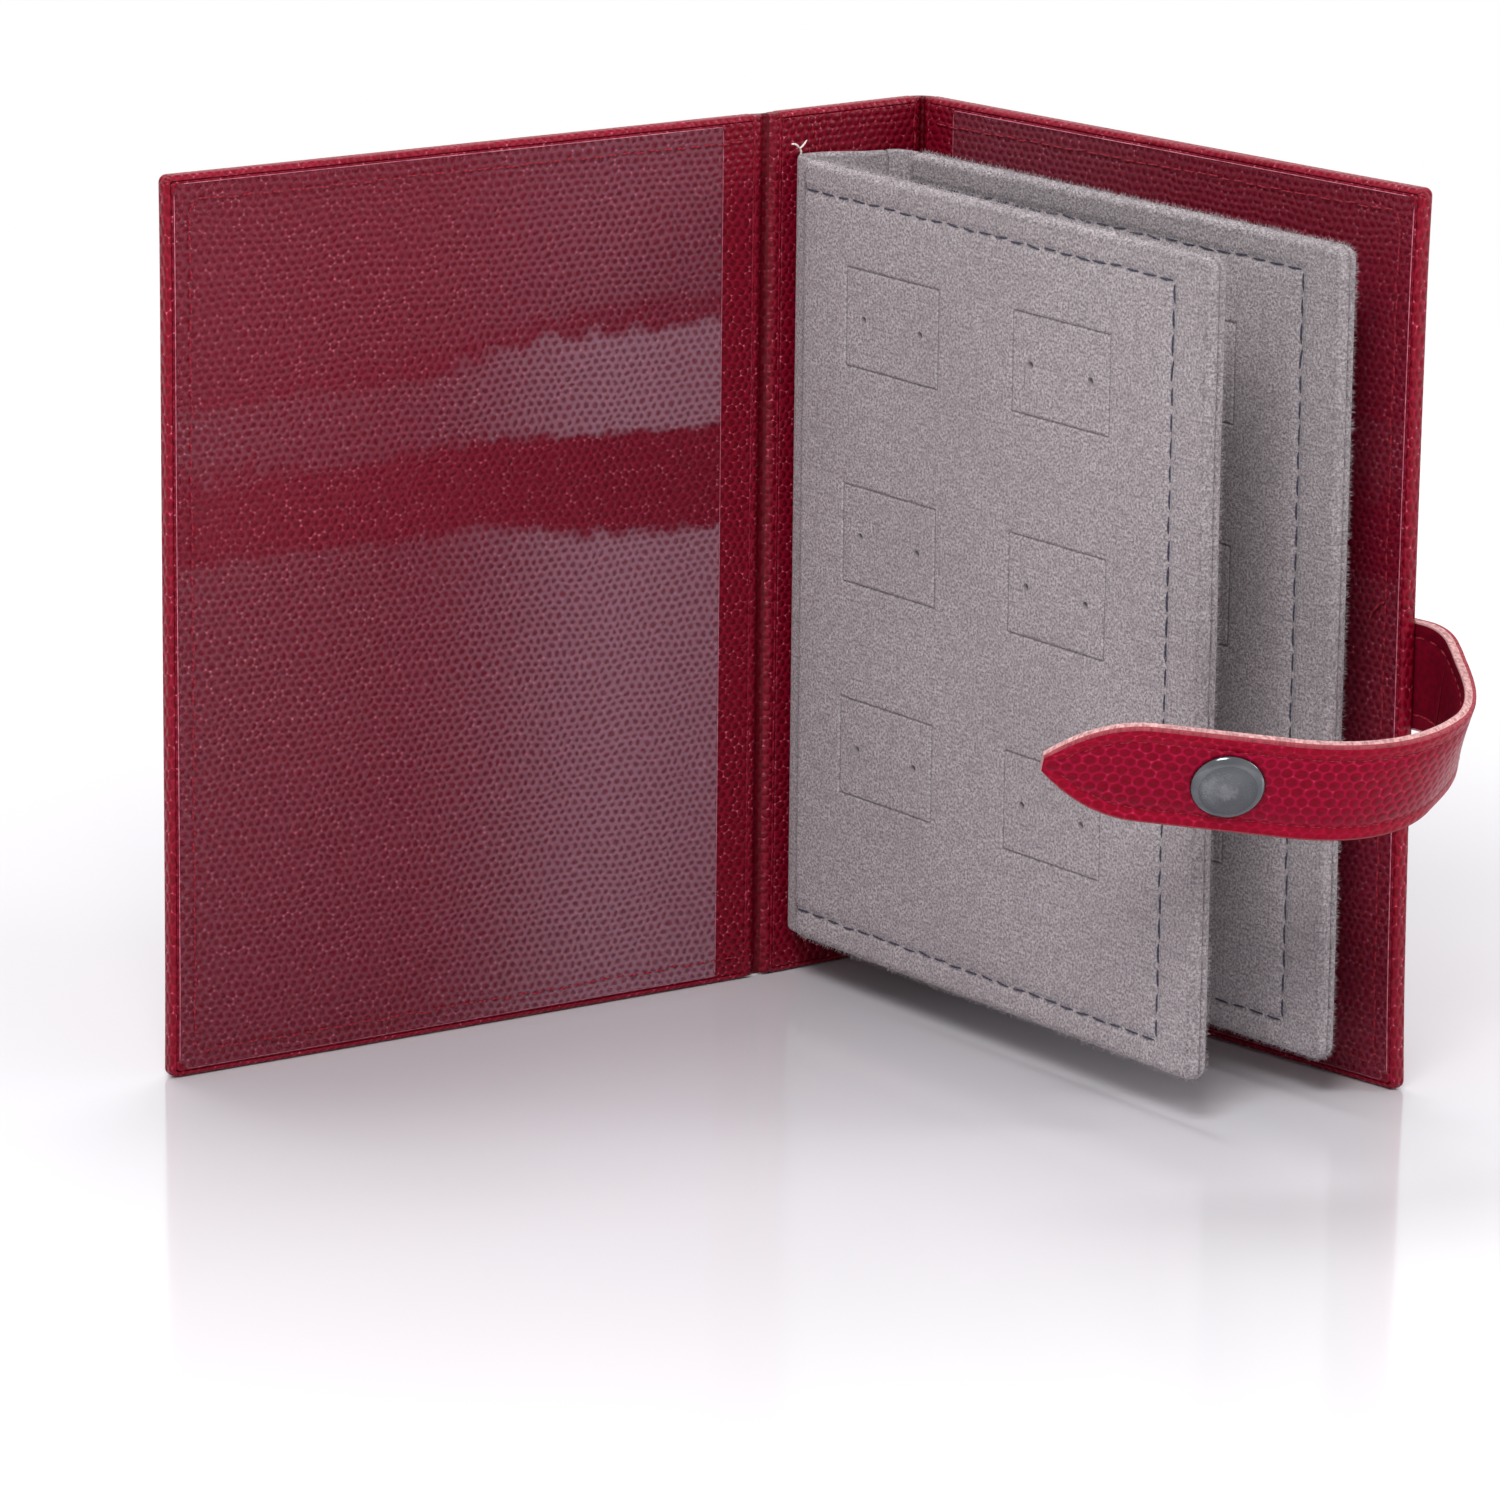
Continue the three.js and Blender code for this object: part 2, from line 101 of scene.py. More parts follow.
AT_SPINE = place(0, 0, 0)
AT_FRONT = place(-JOINT, 0, COVER_ANGLES["front"])
AT_BACK = place(JOINT, 0, COVER_ANGLES["back"])
AT_FRONT_PAGE = place(FRONT_PAGE_X, PAGE_Y, FRONT_PAGE_ANGLE, FRONT_PAGE_FOOT)
AT_REAR_PAGE = place(REAR_PAGE_X, PAGE_Y, REAR_PAGE_ANGLE, REAR_PAGE_FOOT)


def smooth(t):
    t = np.clip(t, 0, 1)
    return t * t * (3 - 2 * t)


def unit(rows):
    return rows / np.linalg.norm(rows, axis=1, keepdims=True)


def runs_along(line):
    """How far along a polyline each of its points lies."""
    return np.concatenate([[0], np.cumsum(np.linalg.norm(np.diff(line, axis=0), axis=1))])


def bezier(a, b, c, count=15):
    t = np.linspace(0, 1, count)[:, None]
    return (1 - t) ** 2 * a + 2 * t * (1 - t) * b + t**2 * c


def heading(angle):
    return np.array([math.cos(math.radians(angle)), math.sin(math.radians(angle))])


def spokes(sides, start=0.0):
    """Cosine and sine at even steps round a circle."""
    turns = [2 * math.pi * (i + start) / sides for i in range(sides)]
    return [(math.cos(turn), math.sin(turn)) for turn in turns]


# meshes
def linked(name, mesh):
    made = bpy.data.objects.new(name, mesh)
    scene.collection.objects.link(made)
    return made


def mesh_piece(name, points, faces, materials, uvs, slots=None):
    """A closed mesh piece from points in metres, with its UV map in metres."""
    mesh = bpy.data.meshes.new(name)
    mesh.from_pydata([tuple(p) for p in points], [], faces)
    layer = mesh.uv_layers.new(name="UVMap")
    corners = np.zeros(len(mesh.loops), np.int32)
    mesh.loops.foreach_get("vertex_index", corners)
    layer.data.foreach_set("uv", np.asarray(uvs, np.float32)[corners].ravel())
    for material in materials:
        mesh.materials.append(material)
    if slots is not None:
        mesh.polygons.foreach_set("material_index", np.asarray(slots, np.int32))
    mesh.update()
    work = bmesh.new()
    work.from_mesh(mesh)
    bmesh.ops.recalc_face_normals(work, faces=work.faces)
    work.to_mesh(mesh)
    work.free()
    mesh.polygons.foreach_set("use_smooth", np.full(len(mesh.polygons), True))
    return linked(name, mesh)


def ring_faces(levels, ring, base=0):
    """The four-sided faces between rings of points that follow one another."""
    faces = []
    for k in range(base, base + (levels - 1) * ring, ring):
        for i in range(ring):
            j = (i + 1) % ring
            faces.append((k + i, k + j, k + ring + j, k + ring + i))
    return faces


def end_faces(levels, ring, base=0):
    """The two faces that close a tube of rings."""
    last = base + (levels - 1) * ring
    return [tuple(range(base, base + ring))[::-1], tuple(range(last, last + ring))]


def lines_between(start, end, step, dense=()):
    """Grid lines from start to end, about step apart, with close ones at the dense places."""
    count = max(1, round((end - start) / step))
    lines = list(np.linspace(start, end, count + 1))
    for middle, reach, gap in dense:
        lines = [v for v in lines if abs(v - middle) > reach + gap / 2 or v in (start, end)]
        near = middle + np.arange(-reach, reach + gap / 2, gap)
        lines += [v for v in near if start + 0.05 < v < end - 0.05]
    lines = np.array(sorted(set(np.round(lines, 4))))
    return lines[np.concatenate([[True], np.diff(lines) > 0.04])]


def panel_mesh(rect, corners, profile, steps, dense_x=(), dense_z=(), shape=None):
    """Points, faces and UVs of a panel with round corners.

    Its edge follows profile, rows of (offset, depth), from one face round to the other.
    """
    x0, x1, z0, z1 = rect
    near, far = corners
    wide = max(corners)
    xs = lines_between(x0 + near, x1 - far, steps[0], dense_x)
    zs = lines_between(z0 + wide, z1 - wide, steps[1], dense_z)
    turn = np.linspace(0, 1, 4)[1:]
    k = len(turn)
    a, b = (np.concatenate([-turn[::-1], np.zeros(len(v)), turn]) for v in (xs, zs))
    base = (np.concatenate([np.full(k, v[0]), v, np.full(k, v[-1])]) for v in (xs, zs))
    A, B = np.meshgrid(a, b, indexing="ij")
    X, Z = np.meshgrid(*base, indexing="ij")
    disc_x = A * np.sqrt(1 - B * B / 2)
    disc_z = B * np.sqrt(1 - A * A / 2)
    corner = np.where(A < 0, near, np.where(A > 0, far, wide))

    def grid(offset):
        rx = np.where(A < 0, near, far) + offset
        return X + disc_x * rx, Z + disc_z * (corner + offset) + B * (wide - corner)

    def quads(index, order):
        parts = [index[:-1, :-1], index[1:, :-1], index[1:, 1:], index[:-1, 1:]]
        return np.stack([parts[k] for k in order], -1).reshape(-1, 4)

    rows, cols = A.shape
    border = [(i, 0) for i in range(rows)] + [(rows - 1, j) for j in range(1, cols)]
    border += [(i, cols - 1) for i in range(rows - 2, -1, -1)]
    border += [(0, j) for j in range(cols - 2, 0, -1)]
    rim = tuple(np.array(border).T)
    away = np.stack([disc_x[rim], disc_z[rim]], 1)
    away = away / np.maximum(np.hypot(*away.T), 1e-9)[:, None]
    first = np.arange(rows * cols).reshape(rows, cols)
    gx, gz = grid(profile[0][0])
    start = np.stack([gx[rim], gz[rim]], 1)
    points = [np.stack([gx.ravel(), np.full(gx.size, profile[0][1]), gz.ravel()], 1)]
    uvs = [np.stack([gx.ravel(), gz.ravel()], 1)]
    faces = [quads(first, (0, 1, 2, 3))]
    before, count, run = first[rim], rows * cols, 0.0
    for (o_a, d_a), (o_b, d_b) in zip(profile[:-1], profile[1:]):
        run += math.hypot(o_b - o_a, d_b - d_a)
        rx, rz = grid(o_b)
        if (o_b, d_b) == tuple(profile[-1]):
            points.append(np.stack([rx.ravel(), np.full(rx.size, d_b), rz.ravel()], 1))
            uv = np.stack([rx.ravel(), rz.ravel()], 1)
            uv[first[rim]] = start + away * run
            uvs.append(uv)
            faces.append(quads(first + count, (0, 3, 2, 1)))
            now = first[rim] + count
        else:
            points.append(np.stack([rx[rim], np.full(len(border), d_b), rz[rim]], 1))
            uvs.append(start + away * run)
            now = np.arange(len(border)) + count
            count += len(border)
        faces.append(np.stack([before, np.roll(before, -1), np.roll(now, -1), now], 1))
        before = now
    points = np.concatenate(points)
    if shape is not None:
        points = shape(points)
    return points, [tuple(f) for f in np.concatenate(faces).tolist()], np.concatenate(uvs)


def rounded(radius, high, low, end, steps=4):
    """Edge profile that rounds a face at depth high into a wall, then stops at depth end."""
    turn = math.copysign(1, high - low)
    rows = []
    for i in range(steps + 1):
        angle = math.pi / 2 * i / steps
        drop = turn * radius * (1 - math.cos(angle))
        rows.append((-radius + radius * math.sin(angle), high - drop))
    return rows + [(0.0, low)] + ([(0.0, end)] if end != low else [])


def panel(name, at, rect, corners, profile, materials, steps, mark=None, **grid):
    """A panel as a piece. Faces whose points all pass the test mark take the second material."""
    points, faces, uvs = panel_mesh(rect, corners, profile, steps, **grid)
    slots = None
    if mark is not None:
        chosen = mark(points)
        slots = [int(all(chosen[v] for v in face)) for face in faces]
    return mesh_piece(name, at(points), faces, materials, uvs * MM, slots)


def upright_strip(name, line, half, total, ends, shares, step, looks, foot, back_u, slots=None):
    """A strip that stands on its plan line, half thick to each side, thinned at its ends.

    ends are the heights of the thinned rings, and slots the material of each face of a ring.
    """
    way = unit(np.gradient(line, axis=0))
    out = np.stack([-way[:, 1], way[:, 0]], 1)
    run = runs_along(line)
    between = np.arange(step, total - step + 1, float(step))
    heights = [*ends, *between, *(total - end for end in ends[::-1])]
    thin = [*shares, *[1.0] * len(between), *shares[::-1]]
    points, uvs = [], []
    for z, share in zip(heights, thin):
        for sign in (1, -1):
            side = line + out * (sign * half * share)[:, None]
            for i in range(len(line))[::sign]:
                points.append((side[i][0], side[i][1], z + foot))
                uvs.append((run[i] + (0 if sign > 0 else back_u), z))
    ring, levels = 2 * len(line), len(heights)
    faces = ring_faces(levels, ring)
    for base in (0, (levels - 1) * ring):
        for i in range(len(line) - 1):
            faces.append((base + i, base + i + 1, base + ring - 2 - i, base + ring - 1 - i))
    if slots is not None:
        slots = slots * (levels - 1) + [0] * (2 * (len(line) - 1))
    return mesh_piece(name, np.array(points) * MM, faces, looks, np.array(uvs) * MM, slots)


def waves(seed, size, height):
    """A gentle smooth unevenness: a function of two arrays in mm."""
    draw = np.random.default_rng(seed)
    full = 2 * math.pi
    ranges = ((0.6, 1.6), (0, full), (0, full), (0.4, 1))
    parts = [[draw.uniform(*ends) for ends in ranges] for _ in range(7)]
    total = sum(p[3] for p in parts)

    def field(x, z):
        out = 0
        for turns, way, phase, share in parts:
            along = x * math.cos(way) + z * math.sin(way)
            out = out + share * np.sin(full * (turns / size) * along + phase)
        return out * height / total

    return field


# node materials
def node(tree, kind, inputs=None, **settings):
    made = tree.nodes.new(kind)
    for key, value in settings.items():
        setattr(made, key, value)
    for key, value in (inputs or {}).items():
        if isinstance(value, bpy.types.NodeSocket):
            tree.links.new(value, made.inputs[key])
        else:
            made.inputs[key].default_value = value
    return made


def new_material(name, **constants):
    material = bpy.data.materials.new(name)
    material.use_nodes = True
    tree = material.node_tree
    shader = tree.nodes["Principled BSDF"]
    for key, value in constants.items():
        shader.inputs[key.replace("_", " ")].default_value = value
    return material, tree, shader


def srgb(r, g, b):
    """An 8-bit display colour as a linear one."""
    parts = (v / 255 for v in (r, g, b))
    return (*(v / 12.92 if v <= 0.04045 else ((v + 0.055) / 1.055) ** 2.4 for v in parts), 1.0)


def math_node(tree, operation, *values, clamp=False):
    settings = {"operation": operation, "use_clamp": clamp}
    return node(tree, "ShaderNodeMath", dict(enumerate(values)), **settings).outputs[0]


def vector_node(tree, operation, *values, output=0):
    made = node(tree, "ShaderNodeVectorMath", dict(enumerate(values)), operation=operation)
    return made.outputs[output]


def ramp(tree, value, low, high, out_low=0.0, out_high=1.0):
    inputs = {"Value": value, "From Min": low, "From Max": high}
    inputs.update({"To Min": out_low, "To Max": out_high})
    return node(tree, "ShaderNodeMapRange", inputs, interpolation_type="SMOOTHSTEP").outputs["Result"]


def mix(tree, share, a, b):
    return node(tree, "ShaderNodeMix", {0: share, 6: a, 7: b}, data_type="RGBA").outputs[2]


def noise(tree, vector, scale, detail=2.0, rough=0.5, output="Fac"):
    inputs = {"Vector": vector, "Scale": scale, "Detail": detail, "Roughness": rough}
    return node(tree, "ShaderNodeTexNoise", inputs).outputs[output]


def uv_of(tree):
    return node(tree, "ShaderNodeUVMap", uv_map="UVMap").outputs[0]


def object_place(tree):
    return node(tree, "ShaderNodeTexCoord").outputs["Object"]


def dress(tree, shader, colour, height, depth, strength, rough=None):
    """Gives the shader its colour, its roughness and a bump of this depth in mm."""
    tree.links.new(colour, shader.inputs["Base Color"])
    if rough is not None:
        tree.links.new(rough, shader.inputs["Roughness"])
    inputs = {"Height": height, "Distance": depth * MM, "Strength": strength}
    tree.links.new(node(tree, "ShaderNodeBump", inputs).outputs[0], shader.inputs["Normal"])


def scale_cells(tree, uv, pitch, stretch, wander):
    """Distance to the nearest centre of a wandering lattice of hexagons, in cells, for scales."""
    size = vector_node(tree, "MULTIPLY", uv, (1 / (pitch * stretch * MM), 1 / (pitch * MM), 0))
    broad = noise(tree, size, 0.11, 2.0, 0.55, "Color")
    fine = noise(tree, size, 0.62, 1.0, 0.5, "Color")
    moved = vector_node(tree, "MULTIPLY_ADD", broad, (2.3 * wander,) * 3, size)
    moved = vector_node(tree, "MULTIPLY_ADD", fine, (0.72 * wander, 0.72 * wander, 0), moved)
    half = math.sqrt(3) / 2
    flat = vector_node(tree, "MULTIPLY", moved, (1, 1, 0))
    lengths = []
    for start in (flat, vector_node(tree, "ADD", flat, (0.5, half, 0))):
        wrapped = vector_node(tree, "WRAP", start, (0.5, half, 0.5), (-0.5, -half, -0.5))
        lengths.append(vector_node(tree, "LENGTH", wrapped, output="Value"))
    return math_node(tree, "MINIMUM", *lengths)


def leather(name, scales, net_tone_and_highlight, glints, pitch=1.7, stretch=1.05, **finish):
    """Red leatherette with a scaly embossing: dark glossy scales in a raised net, lighter partly in its
    own tone and partly as painted highlight, with painted glints on its crests.

    finish may give wander, depth, rough and gloss.
    """
    finish = {"wander": 0.8, "depth": 0.2, "rough": 0.36, "gloss": 0.16} | finish
    material, tree, shader = new_material(name, Specular_IOR_Level=finish["gloss"])
    uv = uv_of(tree)
    far = scale_cells(tree, uv, pitch, stretch, finish["wander"])
    net = ramp(tree, far, 0.34, 0.5)
    crest = ramp(tree, far, 0.47, 0.56)
    dome = ramp(tree, far, 0.1, 0.5, 1.0, 0.0)
    blotch = noise(tree, uv, 48, 3.0, 0.6)
    speck = noise(tree, uv, 700, 2.0, 0.6)
    grain = noise(tree, uv, 4200, 2.0, 0.6)
    spark = ramp(tree, noise(tree, uv, 430, 2.0, 0.6), 0.5, 0.64)
    even = mix(tree, 0.5, scales, net_tone_and_highlight)
    dark = mix(tree, 0.6, scales, (0, 0, 0, 1))
    # The net's lighter colour is partly its own tone and partly painted highlight on its raised ridges.
    base = mix(tree, net, scales, net_tone_and_highlight)
    # Painted highlight: the glint colour on the crests of the net, in random spots.
    base = mix(tree, math_node(tree, "MULTIPLY", crest, spark), base, glints)
    base = mix(tree, ramp(tree, blotch, 0.3, 0.72, 0.0, 0.42), base, even)
    base = mix(tree, ramp(tree, speck, 0.35, 0.75, 0.0, 0.34), base, dark)
    rough = math_node(tree, "MULTIPLY_ADD", speck, 0.2, finish["rough"] - 0.1)
    rough = math_node(tree, "MULTIPLY_ADD", net, -0.06, rough)
    height = math_node(tree, "MULTIPLY_ADD", grain, 0.1, dome)
    dress(tree, shader, base, height, finish["depth"], 0.9, rough)
    return material


def plain_leather(name, colour, other, rough=0.5, size=700, depth=0.05):
    """Smooth backing with a fine grain and faint creases."""
    material, tree, shader = new_material(name, Specular_IOR_Level=0.15)
    uv = uv_of(tree)
    soft = noise(tree, uv, size, 4.0, 0.65)
    broad = noise(tree, uv, 60, 2.0, 0.5)
    tone = mix(tree, ramp(tree, soft, 0.3, 0.7), colour, other)
    tone = mix(tree, ramp(tree, broad, 0.3, 0.8, 0.0, 0.35), tone, other)
    dress(tree, shader, tone, soft, depth, 0.8, math_node(tree, "MULTIPLY_ADD", soft, 0.2, rough - 0.1))
    return material


def felt(name, light, dark):
    """Pressed grey felt: tangled fibres, soft clumps and a sheen."""
    looks = {"Roughness": 1.0, "Specular_IOR_Level": 0.05, "Sheen_Weight": 0.12, "Sheen_Roughness": 0.5}
    material, tree, shader = new_material(name, Sheen_Tint=srgb(226, 222, 224), **looks)
    uv = uv_of(tree)
    clump = noise(tree, uv, 420, 3.0, 0.6)
    fibre = noise(tree, uv, 1900, 3.0, 0.7)
    strand = noise(tree, vector_node(tree, "MULTIPLY", uv, (1.0, 0.28, 1.0)), 3600, 2.0, 0.6)
    broad = noise(tree, uv, 28, 2.0, 0.5)
    pale = mix(tree, 0.5, light, (1, 1, 1, 1))
    tone = mix(tree, ramp(tree, fibre, 0.36, 0.64), dark, light)
    tone = mix(tree, ramp(tree, clump, 0.35, 0.72, 0.0, 0.4), tone, dark)
    tone = mix(tree, ramp(tree, strand, 0.55, 0.8, 0.0, 0.55), tone, pale)
    tone = mix(tree, ramp(tree, broad, 0.3, 0.75, 0.0, 0.2), tone, dark)
    height = math_node(tree, "MULTIPLY_ADD", clump, 0.8, fibre)
    height = math_node(tree, "MULTIPLY_ADD", strand, 0.5, height)
    dress(tree, shader, tone, height, 0.3, 0.9)
    return material


def thread(name, colour, dark):
    """Twisted sewing thread."""
    material, tree, shader = new_material(name, Specular_IOR_Level=0.2, Sheen_Weight=0.1)
    inputs = {"Vector": uv_of(tree), "Scale": 620.0, "Distortion": 1.2}
    twist = node(tree, "ShaderNodeTexWave", inputs, bands_direction="DIAGONAL").outputs["Fac"]
    rough = math_node(tree, "MULTIPLY_ADD", twist, 0.15, 0.48)
    dress(tree, shader, mix(tree, twist, dark, colour), twist, 0.04, 0.7, rough)
    return material


def clear_film(name, reflection_haze):
    """Clear soft film that clings to the scales under it in places and lies off them in others.

    Where it lies off, it looks milky. Painted reflection lies in bands across the cover at set heights,
    lighter and more opaque, less so away from the joint.
    """
    material, tree, shader = new_material(name, Specular_IOR_Level=0.6, IOR=1.5)
    uv = uv_of(tree)
    off = ramp(tree, scale_cells(tree, uv, 1.6, 1.15, 0.8), 0.2, 0.46)
    band = noise(tree, vector_node(tree, "MULTIPLY", uv, (0.16, 1.0, 1.0)), 42, 2.0, 0.45)
    soft = noise(tree, uv, 230, 3.0, 0.55)
    along, up, _ = node(tree, "ShaderNodeSeparateXYZ", {0: uv}).outputs
    level = math_node(tree, "MULTIPLY_ADD", math_node(tree, "ADD", band, -0.5), 0.034, up)
    level = math_node(tree, "MULTIPLY_ADD", math_node(tree, "ADD", soft, -0.5), 0.008, level)
    # The bands at set heights are painted reflection: where they lie, the film is lighter and more
    # opaque.
    low = ramp(tree, level, 0.089, 0.0935, 1.0, 0.0)
    from_middle = math_node(tree, "ABSOLUTE", math_node(tree, "ADD", level, -0.117))
    middle_band = ramp(tree, from_middle, 0.006, 0.0095, 1.0, 0.0)
    high = ramp(tree, level, 0.122, 0.13, 0.0, 0.5)
    veil_and_reflection = math_node(tree, "MAXIMUM", math_node(tree, "MAXIMUM", low, middle_band), high)
    veil_and_reflection = math_node(tree, "MULTIPLY", veil_and_reflection, ramp(tree, along, 0.03, 0.085, 1.0, 0.28))
    spread = math_node(tree, "MULTIPLY_ADD", veil_and_reflection, 0.3, off, clamp=True)
    cover = math_node(tree, "MULTIPLY_ADD", math_node(tree, "MULTIPLY", veil_and_reflection, spread), reflection_haze, 0.025)
    cover = math_node(tree, "MULTIPLY_ADD", off, 0.05, cover)
    tree.links.new(cover, shader.inputs["Alpha"])
    height = math_node(tree, "MULTIPLY_ADD", band, 2.0, soft)
    height = math_node(tree, "MULTIPLY_ADD", off, -0.1, height)
    # Lighter mauve where the bands lie: painted reflection.
    tone = mix(tree, veil_and_reflection, srgb(110, 52, 74), srgb(176, 132, 150))
    dress(tree, shader, tone, height, 0.5, 0.6, math_node(tree, "MULTIPLY_ADD", soft, 0.12, 0.08))
    return material


# Colours of the cap's lighter middle patch and of the painted shade toward its edge.
CAP_PATCH, CAP_EDGE_SHADE = (0.2, 0.2, 0.215, 1), (0.05, 0.053, 0.06, 1)


def metal(name, colour, worn, rough, cap=False):
    """Dark plated metal, a little brushed, lighter where it is rubbed.

    A cap is lighter in a patch about its middle, and has painted shade toward its edge.
    """
    material, tree, shader = new_material(name, Metallic=1.0)
    where = object_place(tree)
    fine = noise(tree, where, 1400, 3.0, 0.6)
    broad = noise(tree, where, 190, 2.0, 0.5)
    tone = mix(tree, ramp(tree, broad, 0.3, 0.8), colour, worn)
    if cap:
        reach = node(tree, "ShaderNodeSeparateXYZ", {0: uv_of(tree)}).outputs["Y"]
        ragged = noise(tree, where, 420, 3.0, 0.6)
        patch = math_node(tree, "MULTIPLY_ADD", ragged, 5 * MM, reach)
        tone = mix(tree, ramp(tree, patch, 3.4 * MM, 4.6 * MM, 0.9, 0.0), tone, CAP_PATCH)
        # Painted shade: darker toward the cap's edge.
        tone = mix(tree, ramp(tree, reach, 3.4 * MM, 5.6 * MM, 0.0, 0.45), tone, CAP_EDGE_SHADE)
    rough = math_node(tree, "MULTIPLY_ADD", fine, 0.1, rough - 0.05)
    dress(tree, shader, tone, fine, 0.012, 0.5, rough)
    return material


def fibre_board(name, colour, dark):
    """Pressed board with its fibres."""
    material, tree, shader = new_material(name, Roughness=0.9)
    fine = noise(tree, object_place(tree), 900, 4.0, 0.7)
    dress(tree, shader, mix(tree, ramp(tree, fine, 0.3, 0.7), dark, colour), fine, 0.05, 0.6)
    return material


cover_leather = leather(
    "cover_leather", srgb(122, 0, 26), srgb(146, 20, 48), srgb(222, 112, 140), 2.2, 0.78
)
lining_leather = leather(
    "lining_leather", srgb(104, 0, 20), srgb(134, 14, 42), srgb(232, 126, 150), 1.6, 1.15
)
# Darker leather for the middle of the joints' groove: its dark colour is painted shade in the crease.
joint_leather = leather(
    "joint_leather", srgb(84, 0, 12), srgb(96, 4, 24), srgb(150, 50, 74), depth=0.1
)
strap_leather = leather(
    "strap_leather", srgb(124, 0, 28), srgb(162, 8, 54), srgb(196, 60, 92), 2.2, 1.08,
    wander=0.5, depth=0.12, gloss=0.07,
)
strap_border = leather(
    "strap_border", srgb(140, 0, 32), srgb(164, 10, 50), srgb(192, 54, 86), 2.2, 1.08,
    wander=0.5, depth=0.08, rough=0.38, gloss=0.07,
)
strap_back = plain_leather("strap_back", srgb(116, 4, 30), srgb(88, 2, 22))
raw_edge = plain_leather("raw_edge", srgb(230, 183, 181), srgb(156, 108, 110), 0.8, 1300, 0.14)
split_edge = plain_leather("split_edge", srgb(172, 80, 88), srgb(124, 50, 58), 0.85, 1800, 0.12)
film = clear_film("clear_film", 0.25)
# The back cover's film lies in shade, so it gets less of the painted reflection.
shaded_film = clear_film("shaded_film", 0.07)
# The film's rim in an opaque pale pink: painted highlight where the film's cut edge catches the light.
film_rim_glint = plain_leather("film_rim_glint", srgb(214, 138, 156), srgb(170, 70, 96), rough=0.3)
grey_felt = felt("grey_felt", srgb(196, 187, 190), srgb(124, 116, 120))
# Darker felt for the pressed window outlines: painted shade in the lines.
outline_shade_felt = felt("outline_shade_felt", srgb(154, 146, 150), srgb(100, 94, 98))
red_thread = thread("red_thread", srgb(168, 22, 48), srgb(104, 2, 22))
blue_thread = thread("blue_thread", srgb(74, 74, 92), srgb(40, 40, 56))
white_thread = thread("white_thread", srgb(240, 234, 230), srgb(206, 196, 194))
gunmetal = metal("gunmetal", (0.11, 0.116, 0.126, 1), (0.14, 0.147, 0.158, 1), 0.34)
bright_metal = metal("bright_metal", (0.1, 0.105, 0.115, 1), (0.16, 0.166, 0.178, 1), 0.13)
cap_metal = metal("cap_metal", (0.115, 0.12, 0.13, 1), (0.15, 0.156, 0.168, 1), 0.27, cap=True)
board = fibre_board("grey_board", srgb(150, 142, 130), srgb(112, 104, 94))
NODE_LOOKS = {"board": board, "stiffener": board, "eyelet": gunmetal, "felt": grey_felt, "film": film}
for node_name, node_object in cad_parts.items():
    look = next((m for word, m in NODE_LOOKS.items() if word in node_name), cover_leather)
    for material_slot in node_object.material_slots:
        material_slot.material = look


def keep(piece, body, slot, *nodes):
    """The piece rides on the body and stands for these nodes. slot is not used."""
    if body is not None:
        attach(piece, body)
    if nodes:
        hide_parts(*nodes)


def turns_with(piece, start, end, slot, node_name):
    """The piece, which lies between the spine and the body, is fixed in the row frame and stands for
    the node; nothing makes it bend.
    """
    start, end = (tuple(np.append(point, 0) * MM) for point in (start, end))
    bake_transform(piece)
    keep(piece, None, slot, node_name)


def copies(faces, count, size):
    """The same faces for this many copies of a shape that has size points."""
    return [tuple(v + size * k for v in face) for k in range(count) for face in faces]


# stitches
def capsule():
    """One stitch as a template: points in (along, out, across), each from -1 to 1, and its faces."""
    half = [(-1.0, 0.25), (-0.86, 0.66), (-0.5, 0.95)]
    stations = [*half, (0.0, 1.0), *((-along, radius) for along, radius in half[::-1])]
    points = [(along, radius * c, radius * s) for along, radius in stations for c, s in spokes(6, 0.5)]
    ends = [face[::-1] for face in end_faces(len(stations), 6)]
    return np.array(points), ring_faces(len(stations), 6) + ends


STITCH_POINTS, STITCH_FACES = capsule()
STITCH_JITTER, STITCH_SKEW, STITCH_RISE, STITCH_SINK = 0.12, 0.05, 0.4, 0.55
COVER_SEWING = (STITCH_PITCH, STITCH_LENGTH, 0.12, red_thread)
PAGE_SEWING = (4.5, 3.6, 0.1, blue_thread)


def stitches(centres, ways, outs, length, radius, material):
    """Stitches at these centres in metres, each along its way and standing out of the surface."""
    centres, ways, outs = (np.asarray(v, float) for v in (centres, ways, outs))
    ways = unit(ways)
    outs = unit(outs - (outs * ways).sum(1, keepdims=True) * ways)
    sides = np.cross(ways, outs)
    count = len(centres)
    draw = np.random.default_rng(count)
    lengths = length * MM / 2 * draw.uniform(1 - STITCH_JITTER, 1 + STITCH_JITTER, count)
    ways = ways + sides * draw.normal(0, STITCH_SKEW, count)[:, None]
    u, r_out, r_side = STITCH_POINTS.T
    arch = (1 - u * u) * STITCH_RISE * radius - STITCH_SINK * radius * u**4
    points = (
        centres[:, None]
        + ways[:, None] * np.outer(lengths, u)[..., None]
        + outs[:, None] * ((r_out * radius + arch) * MM)[:, None]
        + sides[:, None] * ((r_side * radius) * MM)[:, None]
    ).reshape(-1, 3)
    faces = copies(STITCH_FACES, count, len(u))
    turn = np.arctan2(r_side, r_out) * radius * MM
    uvs = np.tile(np.stack([u * length / 2 * MM, turn], 1), (count, 1))
    uvs[:, 0] += np.repeat(np.arange(count) * 0.0031, len(u))
    return mesh_piece("row", points, faces, [material], uvs)


